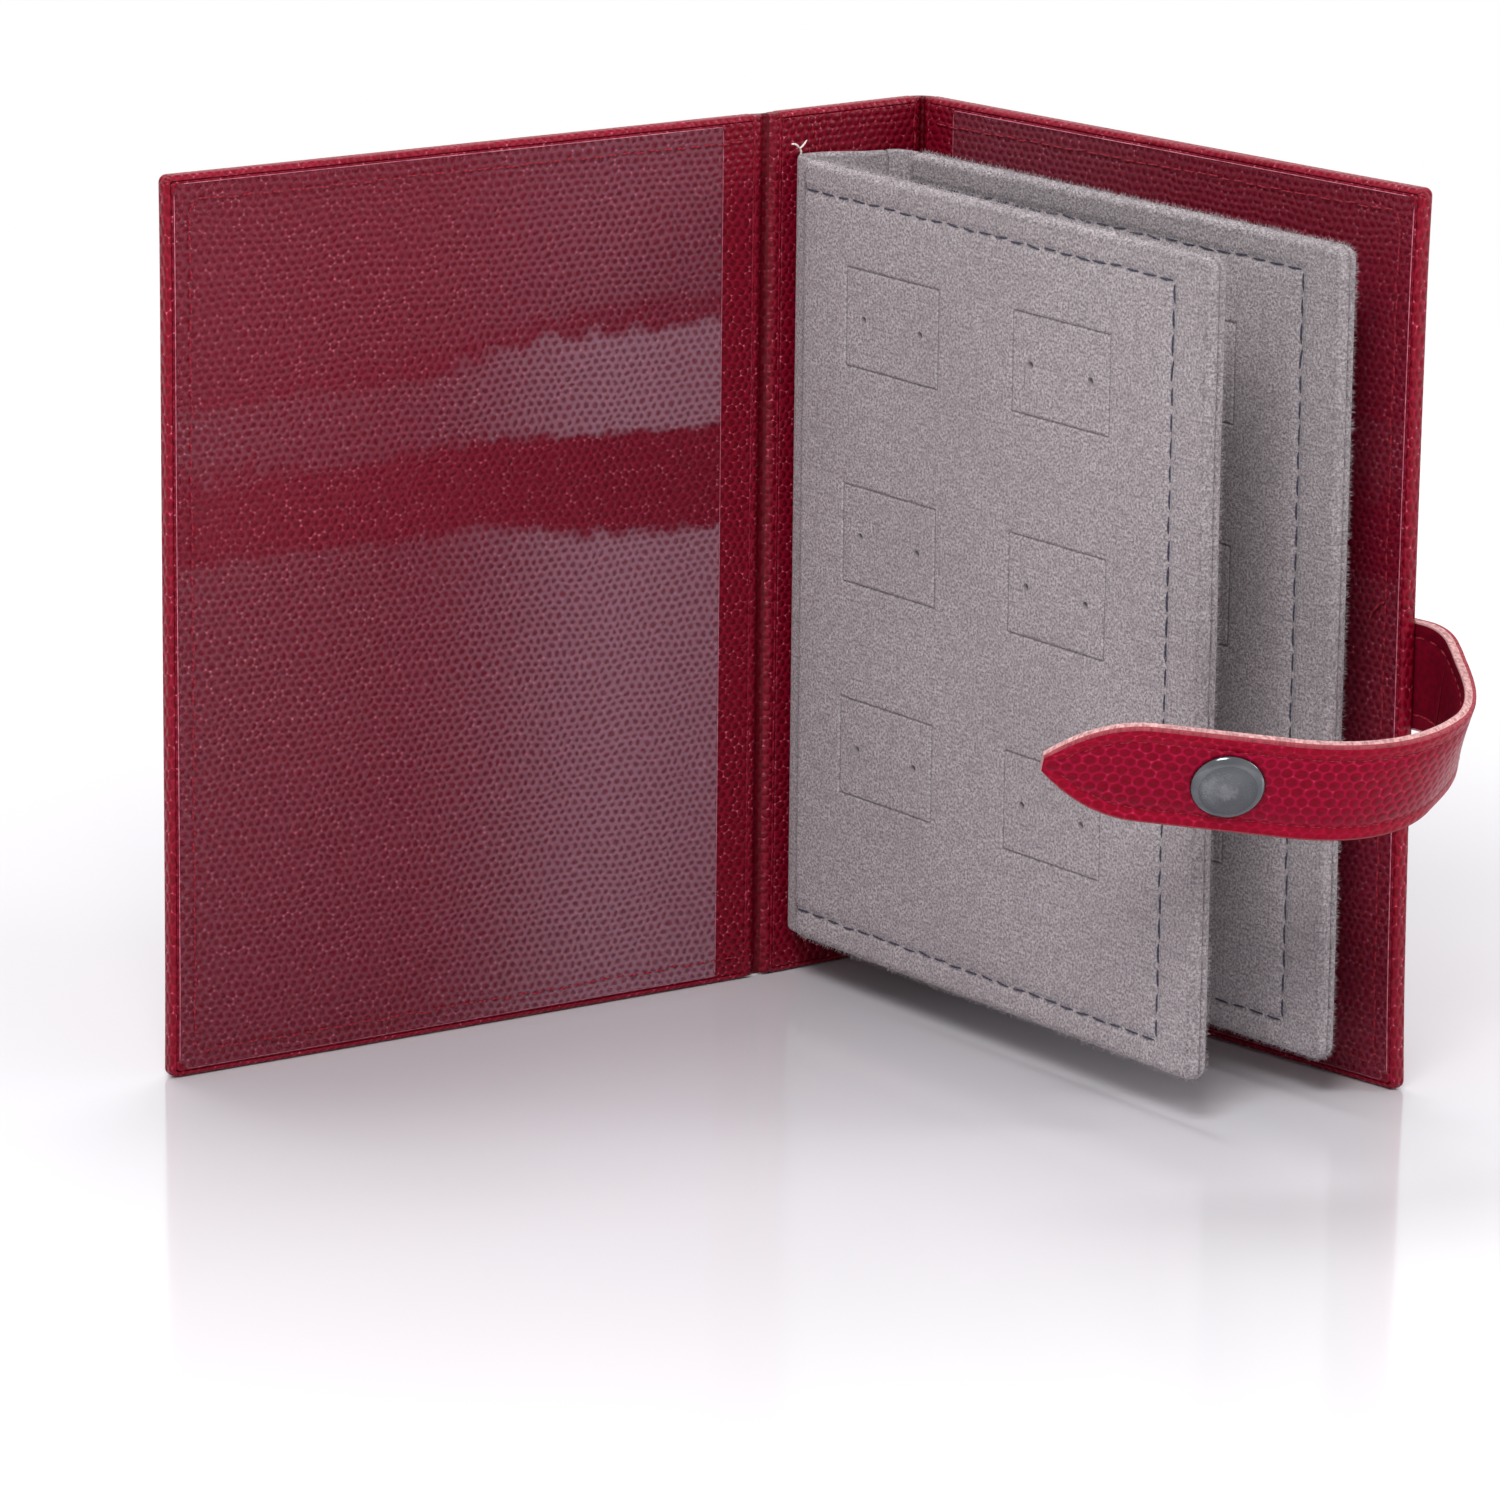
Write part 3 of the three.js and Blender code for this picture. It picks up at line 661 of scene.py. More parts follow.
def along_line(points, pitch):
    """Centres and directions at even steps along a polyline in mm, in the plane of a panel."""
    points = np.asarray(points, float)
    parts = np.diff(points, axis=0)
    lengths = np.linalg.norm(parts, axis=1)
    runs = runs_along(points)
    count = int(runs[-1] / pitch)
    where = (np.arange(count) + 0.5) * runs[-1] / count
    index = np.clip(np.searchsorted(runs, where) - 1, 0, len(parts) - 1)
    share = (where - runs[index]) / lengths[index]
    return points[index] + parts[index] * share[:, None], parts[index] / lengths[index][:, None]


def panel_stitches(at, line, depth, radius, sewing, shape=None):
    """A row of stitches on the face of a panel that lies at this depth, along an (along, up) line."""
    pitch, length, wobble, material = sewing
    centres, ways = along_line(line, pitch)
    draw = np.random.default_rng(len(line) + len(centres))
    side = np.stack([-ways[:, 1], ways[:, 0]], 1)
    centres = centres + side * draw.normal(0, wobble, (len(centres), 1))
    local = np.stack([centres[:, 0], np.full(len(centres), depth), centres[:, 1]], 1)
    if shape is not None:
        local = shape(local)
    base = at(local)
    ahead = at(local + np.stack([ways[:, 0], np.zeros(len(ways)), ways[:, 1]], 1)) - base
    away = at(local + np.array([0, np.sign(depth), 0])) - base
    return stitches(base, ahead, away, length, radius, material)


def joined(name, parts):
    """One piece from several meshes that are already in the row frame."""
    work = bmesh.new()
    for part in parts:
        work.from_mesh(part.data)
    mesh = bpy.data.meshes.new(name)
    work.to_mesh(mesh)
    work.free()
    for material in parts[0].data.materials:
        mesh.materials.append(material)
    piece = linked(name, mesh)
    for part in parts:
        bpy.data.objects.remove(part)
    return piece


def frame_line(rect, radius):
    """A closed line round a rectangle with round corners."""
    x0, x1, z0, z1 = rect
    line = []
    for cx, cz, first in ((x1, z0, -90), (x1, z1, 0), (x0, z1, 90), (x0, z0, 180)):
        ox = cx - math.copysign(radius, cx - (x0 + x1) / 2)
        oz = cz - math.copysign(radius, cz - (z0 + z1) / 2)
        line += [(ox, oz) + radius * heading(first + 90 * step / 4) for step in range(5)]
    return line + [line[0]]


# covers and spine
def scaled(rows, out):
    return [(offset, depth * out) for offset, depth in rows]


def cover_profile(out):
    """From the outer face round the edge to the inner rim, and down into the recess of the lining."""
    rows = rounded(1.05, HALF, HALF - 1.15, HALF - 1.15) + [(0.0, -HALF + 0.95)]
    for turn in (0.4, 0.8, 1.2, 1.5708):
        rows.append((-0.9 + 0.9 * math.cos(turn), -HALF + 0.95 - 0.9 * math.sin(turn)))
    rows += [(-0.98, -HALF + 0.06), (-1.05, -HALF + 0.4), (-1.08, -HALF + 0.62)]
    return scaled(rows, out)


LINING_PROFILE = rounded(0.3, HALF + 0.02, HALF - 0.4, HALF - 0.55, steps=3)
CORE_PROFILE = [(-0.2, 0.95), (0, 0.75), (0, -0.75), (-0.2, -0.95)]
FILM_RECT = (10, COVER - 1.5, 1.5, HEIGHT - 1.5)
FILM_DEPTH = HALF + 0.06
FILM_PROFILE = [(-0.08, FILM_DEPTH + 0.2), (0, FILM_DEPTH + 0.14), (0, FILM_DEPTH + 0.05)]
FILM_PROFILE += [(-0.04, FILM_DEPTH)]


def inset(rect, amount):
    x0, x1, z0, z1 = rect
    return (x0 + amount, x1 - amount, z0 + amount, z1 - amount)


def inside_film(points):
    """How far each point lies inside the edge of the pocket film."""
    x0, x1, z0, z1 = FILM_RECT
    x, z = points[:, 0], points[:, 2]
    return np.minimum.reduce([x - x0, x1 - x, z - z0, z1 - z])


def bow(seed, amount, sag):
    """The slight warp of a cover.

    Its far corners stand proud by amount, and the middle of its far edge gives way by sag.
    """
    field = waves(seed, 90, 0.1)

    def shape(points):
        moved = points.copy()
        x = (points[:, 0] - SLACK) / (COVER - SLACK)
        off = np.abs(points[:, 2] / HEIGHT - 0.5)
        corner = np.clip((x - 0.72) / 0.28, 0, 1) ** 2 * np.clip((off - 0.36) / 0.14, 0, 1) ** 2
        moved[:, 1] += field(points[:, 0], points[:, 2]) * np.clip(x * 6, 0, 1) + amount * corner
        moved[:, 1] += sag * np.clip(x, 0, 1) ** 2 * (1 - np.clip(2 * off, 0, 1) ** 2.5)
        return moved

    return shape


def build_cover(side, at, inner, seed, sag, slack, film_look):
    """Skin, lining, core, pocket film and stitching of one cover.

    inner is +1 where its inner face looks along +Y. slack is a function of the film's points for
    how far the film lies off the lining. The warp of the cover is given back.
    """
    body = f"{side}_cover"
    rect = (SLACK, COVER, 0, HEIGHT)
    shape = bow(seed, -0.3 * inner, sag)

    def film_shape(points):
        moved = shape(points)
        moved[:, 1] += inner * slack(points) * smooth((inside_film(points) - 3.6) / 14)
        return moved

    def layer(piece_name, bounds, corners, profile, looks, slot, node_name, step=5, **grid):
        grid = {"shape": shape, **grid}
        name = f"{body}_{piece_name}"
        piece = panel(name, at, bounds, corners, profile, looks, (step, step), **grid)
        keep(piece, body, slot, f"{body}_{node_name}")

    layer("skin", rect, (1.2, 1.5), cover_profile(-inner), [cover_leather], "leather", "leather")
    lining_rect, core_rect = inset(rect, LINING_INSET), inset(rect, CORE_INSET)
    profile = scaled(LINING_PROFILE, inner)
    layer("inner_lining", lining_rect, (0.5, 0.8), profile, [lining_leather], "lining", "lining")
    layer("core", core_rect, (0.5, 0.8), CORE_PROFILE, [board], "board", "board")
    line = [(SLACK + 3.4, 4.6), (COVER - 6.6, 4.6), (COVER - 5.2, 5.2), (COVER - 4.6, 6.6)]
    line += [(x, HEIGHT - z) for x, z in line[::-1]]
    faces = ((-inner * (HALF - 0.02), 0.22), (inner * (HALF + 0.26), 0.17))
    rows = [panel_stitches(at, line, depth, radius, COVER_SEWING, shape) for depth, radius in faces]
    keep(joined(f"{body}_stitches", rows), body, "leather")
    # The rim faces of the film take the second material, a painted highlight.
    layer(
        "clear_pocket", FILM_RECT, (0.5, 2.0), scaled(FILM_PROFILE, inner), [film_look, film_rim_glint],
        "film", "pocket_film", step=3, shape=film_shape, mark=lambda points: inside_film(points) < 0.1,
    )
    return shape


ripple = waves(23, 52, 0.1)
build_cover(
    "front", AT_FRONT, 1, 3, 0, lambda points: 0.2 + ripple(points[:, 0] * 0.35, points[:, 2]), film
)
back_shape = build_cover("back", AT_BACK, -1, 5, -COVER_SAG, lambda points: 0.02, shaded_film)

spine_rect = (-SPINE_HALF, SPINE_HALF, 0, HEIGHT)
spine_skin = panel(
    "spine_skin", AT_SPINE, spine_rect, (1.2, 1.2), cover_profile(1), [cover_leather], (4, 5)
)
keep(spine_skin, "spine", "leather", "spine_leather")
spine_lining = panel(
    "spine_inner_lining", AT_SPINE, inset(spine_rect, LINING_INSET), (0.6, 0.6),
    scaled(LINING_PROFILE, -1), [lining_leather], (4, 5),
)
keep(spine_lining, "spine", "lining", "spine_lining")
SEAM_DEPTH, SEAM_END = HALF + 0.02, 3.4
seams = [
    panel_stitches(AT_SPINE, [(x, SEAM_END), (x, HEIGHT - SEAM_END)], depth, 0.2, COVER_SEWING)
    for x in (15.4, -7.65)
    for depth in (SEAM_DEPTH, -SEAM_DEPTH)
]
keep(joined("spine_seams", seams), "spine", "leather")


BEND_REACH, JOINT_REACH = 2.0, 3.5
GROOVE_HALF, GROOVE_REACH, GROOVE_SHADE = 0.5, 1.9, 0.8


def joint_skin(side, cover):
    """The bare leather of one joint, over the full height.

    It is thick at both boards and pressed thin between them.
    """
    middle = np.array([side * JOINT, 0.0])
    bend = heading(COVER_ANGLES[cover])
    start, end = middle - [side * BEND_REACH, 0], middle + BEND_REACH * bend
    curve = bezier(start, middle, end)
    far_ends = middle - [side * JOINT_REACH, 0], middle + JOINT_REACH * bend
    line = np.concatenate([[far_ends[0]], curve, [far_ends[1]]])
    near = np.linalg.norm(line - curve[len(curve) // 2], axis=1)
    full = HALF - 0.1
    half = full - (full - GROOVE_HALF) * smooth(1.1 - near / GROOVE_REACH)
    ring, slots = 2 * len(line), []
    for i in range(ring):
        # Faces near the middle of the groove take the darker joint leather, painted shade in the
        # crease.
        groove = any(near[min(v, ring - 1 - v)] < GROOVE_SHADE for v in (i, (i + 1) % ring))
        slots.append(int(groove) if (i < len(line)) == (side < 0) else 2)
    looks = [lining_leather, joint_leather, cover_leather]
    ends, shares = [0.1, 0.16, 0.34, 0.75], [0.3, 0.62, 0.87, 1.0]
    name = f"{cover}_joint_skin"
    piece = upright_strip(name, line, half, HEIGHT, ends, shares, 4, looks, 0, 31.3, slots)
    turns_with(piece, start, end, "leather", f"{cover}_joint_leather")


joint_skin(-1, "front")
joint_skin(1, "back")


# felt
ROW_LOW, ROW_HIGH, ROW_FAR = 5.4, PAGE_HEIGHT - 5.4, PAGE_WIDTH - 10.4
ROW_NEAR = PAGE_SLACK + 0.6
PAGE_ROWS = [
    [(ROW_NEAR, ROW_LOW), (ROW_FAR, ROW_LOW)],
    [(ROW_FAR, ROW_LOW), (ROW_FAR, ROW_HIGH)],
    [(ROW_FAR, ROW_HIGH), (ROW_NEAR, ROW_HIGH)],
]


def beside(centres, apart):
    """The places half as far to each side of these centres."""
    return [centre + side * apart / 2 for centre in centres for side in (-1, 1)]


HOLES = [(x, z) for c in WINDOW_COLUMNS for z in WINDOW_ROWS for x in beside([c], HOLE_PITCH)]
DENSE_X = [(x, 0.6, 0.15) for x in beside(WINDOW_COLUMNS, WINDOW_WIDTH)]
DENSE_X += [(ROW_FAR, 1.6, 0.4)] + [(x, 1.2, 0.4) for x in beside(WINDOW_COLUMNS, HOLE_PITCH)]
DENSE_Z = [(z, 0.6, 0.15) for z in beside(WINDOW_ROWS, WINDOW_HEIGHT)]
DENSE_Z += [(z, 1.6, 0.4) for z in (ROW_LOW, ROW_HIGH)] + [(z, 1.2, 0.4) for z in WINDOW_ROWS]


def from_windows(points):
    """How far each point lies outside the nearest card window, less than 0 inside it."""
    nearest = np.full(len(points), FAR)
    for cx in WINDOW_COLUMNS:
        for cz in WINDOW_ROWS:
            dx = np.abs(points[:, 0] - cx) - WINDOW_WIDTH / 2
            dz = np.abs(points[:, 2] - cz) - WINDOW_HEIGHT / 2
            outside = np.hypot(np.maximum(dx, 0), np.maximum(dz, 0))
            away = np.where((dx < 0) & (dz < 0), np.maximum(dx, dz), outside)
            nearest = np.minimum(nearest, away)
    return nearest


# Marks points on the pressed window outlines; faces there take the darker felt, painted shade in the
# lines.
def on_outline(points):
    return (np.abs(from_windows(points)) < 0.16) & (np.abs(points[:, 1]) > 1.2)


def pressed(points, sign):
    """Presses the outlines of the card windows into a felt face."""
    moved = points.copy()
    away = from_windows(points)
    deep = np.exp(-((away / 0.26) ** 2)) * 0.34 + 0.06 * smooth(-away / 2)
    moved[:, 1] -= sign * deep * (np.abs(points[:, 1]) > 1.7)
    return moved


def sewn_dip(points, sign):
    """Draws the felt in along its rows of stitches."""
    moved = points.copy()
    x, z = points[:, 0], points[:, 2]
    away = np.full(len(points), FAR)
    for (ax, az), (bx, bz) in PAGE_ROWS:
        dx, dz = bx - ax, bz - az
        t = np.clip(((x - ax) * dx + (z - az) * dz) / (dx**2 + dz**2), 0, 1)
        away = np.minimum(away, np.hypot(x - ax - t * dx, z - az - t * dz))
    face = np.abs(points[:, 1]) > 1.2
    dip = 0.42 * np.exp(-((away / 0.9) ** 2)) + 0.1 * np.exp(-((away / 3.2) ** 2))
    moved[:, 1] -= sign * face * dip
    return moved


FIBRE_LENGTH, FIBRE_RADIUS = 1.2, 0.042
EDGE_FIBRES, FACE_FIBRES = 14000, 3500


def fuzz(name, base, outs, seed):
    """Loose fibres: each a thin closed spike from its root along its own direction."""
    draw = np.random.default_rng(seed)
    n = len(base)
    way = unit(outs + draw.normal(0, 0.55, (n, 3)))
    side = unit(np.cross(way, draw.normal(0, 1, (n, 3))))
    third = np.cross(way, side)
    reach = draw.uniform(0.35, 1.0, (n, 1)) * FIBRE_LENGTH * MM
    bend = side * reach * draw.normal(0, 0.25, (n, 1))
    rows = []
    for share, width in ((-0.15, 1.0), (0.5, 0.75)):
        middle = base + way * reach * share + bend * max(share, 0) ** 2
        for c, s in spokes(3):
            rows.append(middle + (side * c + third * s) * (FIBRE_RADIUS * MM) * width)
    rows.append(base + way * reach + bend)
    spike = [(0, 2, 1), (0, 1, 4, 3), (1, 2, 5, 4), (2, 0, 3, 5), (3, 4, 6), (4, 5, 6), (5, 3, 6)]
    uvs = np.repeat(draw.uniform(0, 0.1, (n, 2)), len(rows), axis=0)
    points = np.stack(rows, 1).reshape(-1, 3)
    return mesh_piece(name, points, copies(spike, n, len(rows)), [grey_felt], uvs)


def rooted(at, local, away):
    """Places and directions in the row frame, from those in a local one in mm."""
    base = at(local)
    return base, (at(local + away) - base) / MM


def edge_samples(at, rect, seed):
    """Random places round the edge of a felt panel, and their outward directions."""
    draw = np.random.default_rng(seed)
    centres, ways = along_line(frame_line(rect, 2.4), 0.4)
    pick = draw.integers(0, len(centres), EDGE_FIBRES)
    centre, way = centres[pick], ways[pick]
    centre = centre + way * draw.uniform(-0.2, 0.2, (EDGE_FIBRES, 1))
    out = np.stack([way[:, 1], -way[:, 0]], 1)
    angle = draw.uniform(-1, 1, EDGE_FIBRES) * math.pi / 2
    side, level = np.sin(angle), np.cos(angle)
    radius = 1.5
    x, z = (centre - out * (radius * (1 - level))[:, None]).T
    depth = side * radius + side * (PAGE_HALF - radius)
    away = np.stack([out[:, 0] * level, side, out[:, 1] * level], 1)
    return rooted(at, np.stack([x, depth, z], 1), away)


def face_samples(at, rect, sign, seed):
    """Random places on one face of a felt panel, and their outward directions."""
    draw = np.random.default_rng(seed)
    x0, x1, z0, z1 = inset(rect, 2)
    x, z = draw.uniform(x0, x1, FACE_FIBRES), draw.uniform(z0, z1, FACE_FIBRES)
    local = np.stack([x, np.full(FACE_FIBRES, sign * (PAGE_HALF - 0.05)), z], 1)
    return rooted(at, local, np.array([0, sign, 0]))


def punch(piece, at):
    """Cuts the earring holes through a felt."""
    turns = np.linspace(0, 2 * math.pi, 13)[:-1]
    ring = [(HOLE_RADIUS * math.cos(a), HOLE_RADIUS * math.sin(a)) for a in turns]
    local = [(x + a, d, z + b) for x, z in HOLES for d in (-3.5, 3.5) for a, b in ring]
    drill = [face[::-1] for face in end_faces(2, 12)] + ring_faces(2, 12)
    faces, uvs = copies(drill, len(HOLES), 24), np.zeros((len(local), 2))
    cutter = mesh_piece("cutter", at(local), faces, [grey_felt], uvs)
    change = piece.modifiers.new("punch", "BOOLEAN")
    change.operation = "DIFFERENCE"
    change.object = cutter
    change.solver = "EXACT"
    bpy.context.view_layer.update()
    seen = piece.evaluated_get(bpy.context.evaluated_depsgraph_get())
    result = bpy.data.meshes.new_from_object(seen)
    piece.modifiers.clear()
    piece.data = result
    result.set_sharp_from_angle(angle=math.radians(50))
    bpy.data.objects.remove(cutter)


def build_page(side, at, seed):
    """Both felts of a page with their windows, holes, stitching and loose fibres."""
    body = f"{side}_page"
    rect = (PAGE_SLACK, PAGE_WIDTH, 0, PAGE_HEIGHT)
    sway = waves(seed, 70, 0.16)
    lumps = waves(seed + 9, 13, 0.05)
    profile = rounded(1.5, PAGE_HALF, 0.34, 0.34, steps=5) + [(-0.16, 0.12), (-0.5, 0.03)]
    for felt_name, sign in (("face", -1), ("back", 1)):

        def shape(points, sign=sign):
            x, y, z = points.T
            moved = sewn_dip(pressed(points, sign), sign)
            moved[:, 1] += sway(x, z) * np.clip((x - PAGE_SLACK) / 20, 0, 1)
            moved[:, 1] += sign * lumps(x, z) * (np.abs(y) > 1)
            wander = lumps(z * 1.7 + 5, x * 1.7) * 2.2
            moved[:, 0] -= np.abs(wander) * (x > PAGE_WIDTH - 0.2)
            return moved

        piece = panel(
            f"{body}_{felt_name}_cloth", at, rect, (1.6, 2.7), scaled(profile, sign),
            [grey_felt, outline_shade_felt], (3, 3), on_outline, dense_x=DENSE_X, dense_z=DENSE_Z, shape=shape,
        )
        punch(piece, at)
        keep(piece, body, "felt", f"{body}_{felt_name}_felt")
    rows = [
        panel_stitches(at, row, sign * (PAGE_HALF - 0.42), 0.19, PAGE_SEWING)
        for sign in (-1, 1)
        for row in PAGE_ROWS
    ]
    keep(joined(f"{body}_stitches", rows), body, "felt")
    spots = [edge_samples(at, rect, seed)]
    spots += [face_samples(at, rect, sign, seed + 1 + sign) for sign in (-1, 1)]
    base, away = (np.concatenate(parts) for parts in zip(*spots))
    keep(fuzz(f"{body}_fibres", base, away, seed), body, "felt")


build_page("front", AT_FRONT_PAGE, 11)
build_page("rear", AT_REAR_PAGE, 17)


HINGE_START, HINGE_END, HINGE_TURNED = 3.1, 5.6, 4.6


def hinge_felt(side, x, angle, foot, body):
    """The felt that turns from the spine panel into a page, as one bent strip."""
    start, middle = np.array([x - side * HINGE_START, PAGE_Y]), np.array([x, PAGE_Y])
    way = heading(angle)
    line = bezier(start, middle, middle + HINGE_END * way)
    t = np.linspace(0, 1, len(line))
    half = 0.85 - 0.3 * (1 - smooth(t / 0.2)) - 0.3 * smooth((t - 0.45) / 0.4)
    ends, shares = [0.0, 0.12, 0.45, 1.0], [0.35, 0.7, 0.93, 1.0]
    name = f"{body}_hinge_cloth"
    piece = upright_strip(name, line, half, PAGE_HEIGHT, ends, shares, 3, [grey_felt], foot, 20)
    turns_with(piece, start, middle + HINGE_TURNED * way, "felt", f"{body}_hinge_felt")


hinge_felt(-1, FRONT_PAGE_X, FRONT_PAGE_ANGLE, FRONT_PAGE_FOOT, "front_page")
hinge_felt(1, REAR_PAGE_X, REAR_PAGE_ANGLE, REAR_PAGE_FOOT, "rear_page")
FELT_LEFT, FELT_RIGHT = -10.6, 8.3
FELT_WIDTH, FELT_DROP = 18.9, 1.1


def lean(points):
    """Lets the spine felt fall from the height of the front page to that of the rear page."""
    moved = points.copy()
    moved[:, 2] -= FELT_DROP * smooth((points[:, 0] - FELT_LEFT) / FELT_WIDTH)
    return moved


edge = rounded(0.9, 0.95, 0.0, 0.0)
strip = panel(
    "spine_felt_cloth", place(0, PAGE_Y, 0),
    (FELT_LEFT, FELT_RIGHT, FRONT_PAGE_FOOT, FRONT_PAGE_FOOT + PAGE_HEIGHT), (1.2, 1.2),
    edge + scaled(edge[::-1][1:], -1), [grey_felt], (2, 3), shape=lean,
)
keep(strip, "spine", "felt", "felt_spine_panel")


# loose thread ends
def thread_end(name, at, runs, material):
    """Thin thread tubes along smooth curves through a few points, tapering at both ends."""
    points, faces, uvs = [], [], []
    sides, steps, radius = 6, 14, 0.2
    t = np.linspace(0, 1, steps)
    for line in runs:
        line = np.array(line, float)
        fit = np.polyfit(np.linspace(0, 1, len(line)), line, len(line) - 1)
        middle = np.stack([np.polyval(fit[:, k], t) for k in range(3)], 1)
        way = unit(np.gradient(middle, axis=0))
        side = unit(np.cross(way, (0.31, 0.87, 0.38)))
        third = np.cross(way, side)
        base = len(points)
        for k in range(steps):
            taper = 0.65 * math.sin(math.pi * min(1, 0.12 + 0.88 * t[k])) ** 0.4
            wide = radius * (0.35 + taper)
            for i, (c, s) in enumerate(spokes(sides)):
                points.append(middle[k] + (side[k] * c + third[k] * s) * wide)
                uvs.append((k * 0.25 * MM, i * 0.1 * MM))
        faces += ring_faces(steps, sides, base) + end_faces(steps, sides, base)
    return mesh_piece(name, at(points), faces, [material], uvs)


knot = [
    [(-12.7, -2.9, 156.0), (-12.3, -3.3, 157.2), (-12.8, -3.5, 158.4)],
    [(-14.6, -3.4, 159.2), (-13.7, -3.5, 159.1), (-12.8, -3.5, 158.3)],
    [(-12.8, -3.5, 158.3), (-12.0, -3.5, 158.8), (-11.1, -3.4, 159.7)],
]
keep(thread_end("page_thread_end", AT_SPINE, knot, white_thread), "spine", "felt")
loose = [(4.9, -1.95, 89.9), (5.9, -2.15, 89.4), (7.6, -2.15, 87.6), (8.2, -1.95, 85.6)]
loose = [[(COVER - x, y, z) for x, y, z in loose]]
loose_end = thread_end(
    "cover_thread_end", lambda points: AT_BACK(back_shape(np.array(points))), loose, red_thread
)
keep(loose_end, "back_cover", "leather")


# strap
CURL_RADIUS, CURL_TURN = 16.8, math.radians(28)
WIDE_RADIUS, WIDE_LENGTH = 35.4, 61.8
CLIMB, FIRST_DROP = math.radians(24.7), math.radians(17.7)
TWIST = math.radians(22.2)
RISE, RISE_LENGTH = 2.8, 70.0
SEAT_SINK, SEAT_LENGTH, LIFT_LENGTH = 0.28, 9, 18.0
TIP_LENGTH, TIP_HALF = 19, 1.4
ROOT_FULL, ROOT_ROUND = -20.4, 1.6


def strap_route():
    """Where the strap's middle runs, in the back cover's own frame.

    The result is a function of the length s from the cover's free edge, for a point, the
    directions along and across, and the one out of the strap's outer face.
    """
    step = 0.5
    count = int(STRAP_END / step)
    points = [np.array([COVER, STRAP_OFFSET, STRAP_HEIGHT])]

    def aim(s):
        tight = CURL_RADIUS * CURL_TURN
        turn = -min(s, tight) / CURL_RADIUS - min(max(s - tight, 0), WIDE_LENGTH) / WIDE_RADIUS
        return turn, CLIMB * smooth(s / RISE_LENGTH) - FIRST_DROP * smooth(s / 8.0)

    def rise(s):
        return RISE * (1 - smooth(np.asarray(s) / RISE_LENGTH))

    def way(s):
        h, slope = aim(s)
        level = math.cos(slope)
        return np.array([math.cos(h) * level, math.sin(h) * level, math.sin(slope)])

    for i in range(count):
        points.append(points[-1] + way((i + 0.5) * step) * step)
    points = np.array(points)
    lengths = np.arange(count + 1) * step
    points[:, 2] += rise(lengths)
    points[:, 1] -= COVER_SAG * (1 - smooth(lengths / LIFT_LENGTH))

    def at(s):
        if s <= 0:
            sink = SEAT_SINK * smooth(-s / SEAT_LENGTH) - COVER_SAG * (1 - (1 + s / COVER) ** 2)
            point = points[0] + np.array([s, -sink, 0])
            return point, *(np.array(v) for v in ([1.0, 0, 0], [0, 0, 1.0], [0, 1.0, 0]))
        spot = min(s / step, count)
        i = min(int(spot), count - 1)
        point = points[i] + (points[i + 1] - points[i]) * (spot - i)
        along = way(s) + np.array([0, 0, (rise(s + 0.5) - rise(s - 0.5))])
        along /= np.linalg.norm(along)
        h, _ = aim(s)
        tilt = TWIST * smooth((s - 11.5) / 23)
        level = np.array([-math.sin(h), math.cos(h), 0])
        across = np.array([0, 0, math.cos(tilt)]) + math.sin(tilt) * level
        across -= along * (across @ along)
        across /= np.linalg.norm(across)
        return point, along, across, np.cross(across, along)

    return at


strap_at = strap_route()


def strap_half_width(s):
    if s < ROOT_FULL:
        return STRAP_WIDE - ROOT_ROUND * ((ROOT_FULL - s) / ROOT_ROUND) ** 2
    u = (s - (STRAP_END - TIP_LENGTH)) / TIP_LENGTH
    if u <= 0:
        return STRAP_WIDE
    return TIP_HALF + (STRAP_WIDE - TIP_HALF) * (1 - u**2.2)


def crease_place(width):
    """How far from the strap's middle the crease with the stitches lies."""
    return max(width - 2.9, 0.35 * width)


LEATHER, CUT, BACK, SPLIT, BORDER = range(5)


def strap_section(w):
    """Cross-section of the strap, w to each side of its middle.

    It is given as rows of (across, out) from the outer face round to the inner one, and the
    material of the face that starts at each row.
    """
    h = STRAP_THICK
    small = min(1.0, w / 4)
    crease = crease_place(w)
    tick, dent = 0.28 * small, h - 0.16 * small
    left = [(-w + 0.4 * small, h - 0.02), (-crease - tick, h), (-crease, dent)]
    left += [(-crease + tick, h), (-crease * 0.45, h + 0.03)]
    top = left + [(0, h + 0.05)] + [(-a, b) for a, b in left[::-1]]
    right = [(w - 0.06, h - 0.1), (w, h - 0.3), (w, 0.3), (w - 0.2 * small, 0.05)]
    right += [(w - 0.04, -0.2), (w, -h + 0.3), (w - 0.1, -h + 0.1)]
    rows = top + right + [(-a, -b) for a, b in top] + [(-a, b) for a, b in right[::-1]]
    side = [SPLIT] * 3 + [CUT] * 5
    marks = [BORDER] + [LEATHER] * (len(top) - 3) + [BORDER] + side
    return rows, marks + [BACK] * (len(top) - 1) + side[::-1]


def strap_piece(name, start, end, caps):
    """A stretch of the strap as one closed tube. caps are the materials of its two ends."""
    levels = max(2, int(round((end - start) / 0.75))) + 1
    points, uvs = [], []
    for s in np.linspace(start, end, levels):
        point, _, across, out = strap_at(s)
        rows, marks = strap_section(strap_half_width(s))
        for (a, b), mark in zip(rows, marks):
            points.append(point + across * a + out * b)
            uvs.append((s, (a + 40 if mark == BACK else a) + (b if mark in (CUT, SPLIT) else 0)))
    ring = len(rows)
    faces = ring_faces(levels, ring) + end_faces(levels, ring)
    looks = [strap_leather, raw_edge, strap_back, split_edge, strap_border]
    slots = marks * (levels - 1) + caps
    piece = mesh_piece(name, AT_BACK(points), faces, looks, np.array(uvs) * MM, slots)
    for face in piece.data.polygons:
        face.use_smooth = len(face.vertices) == 4
    return piece


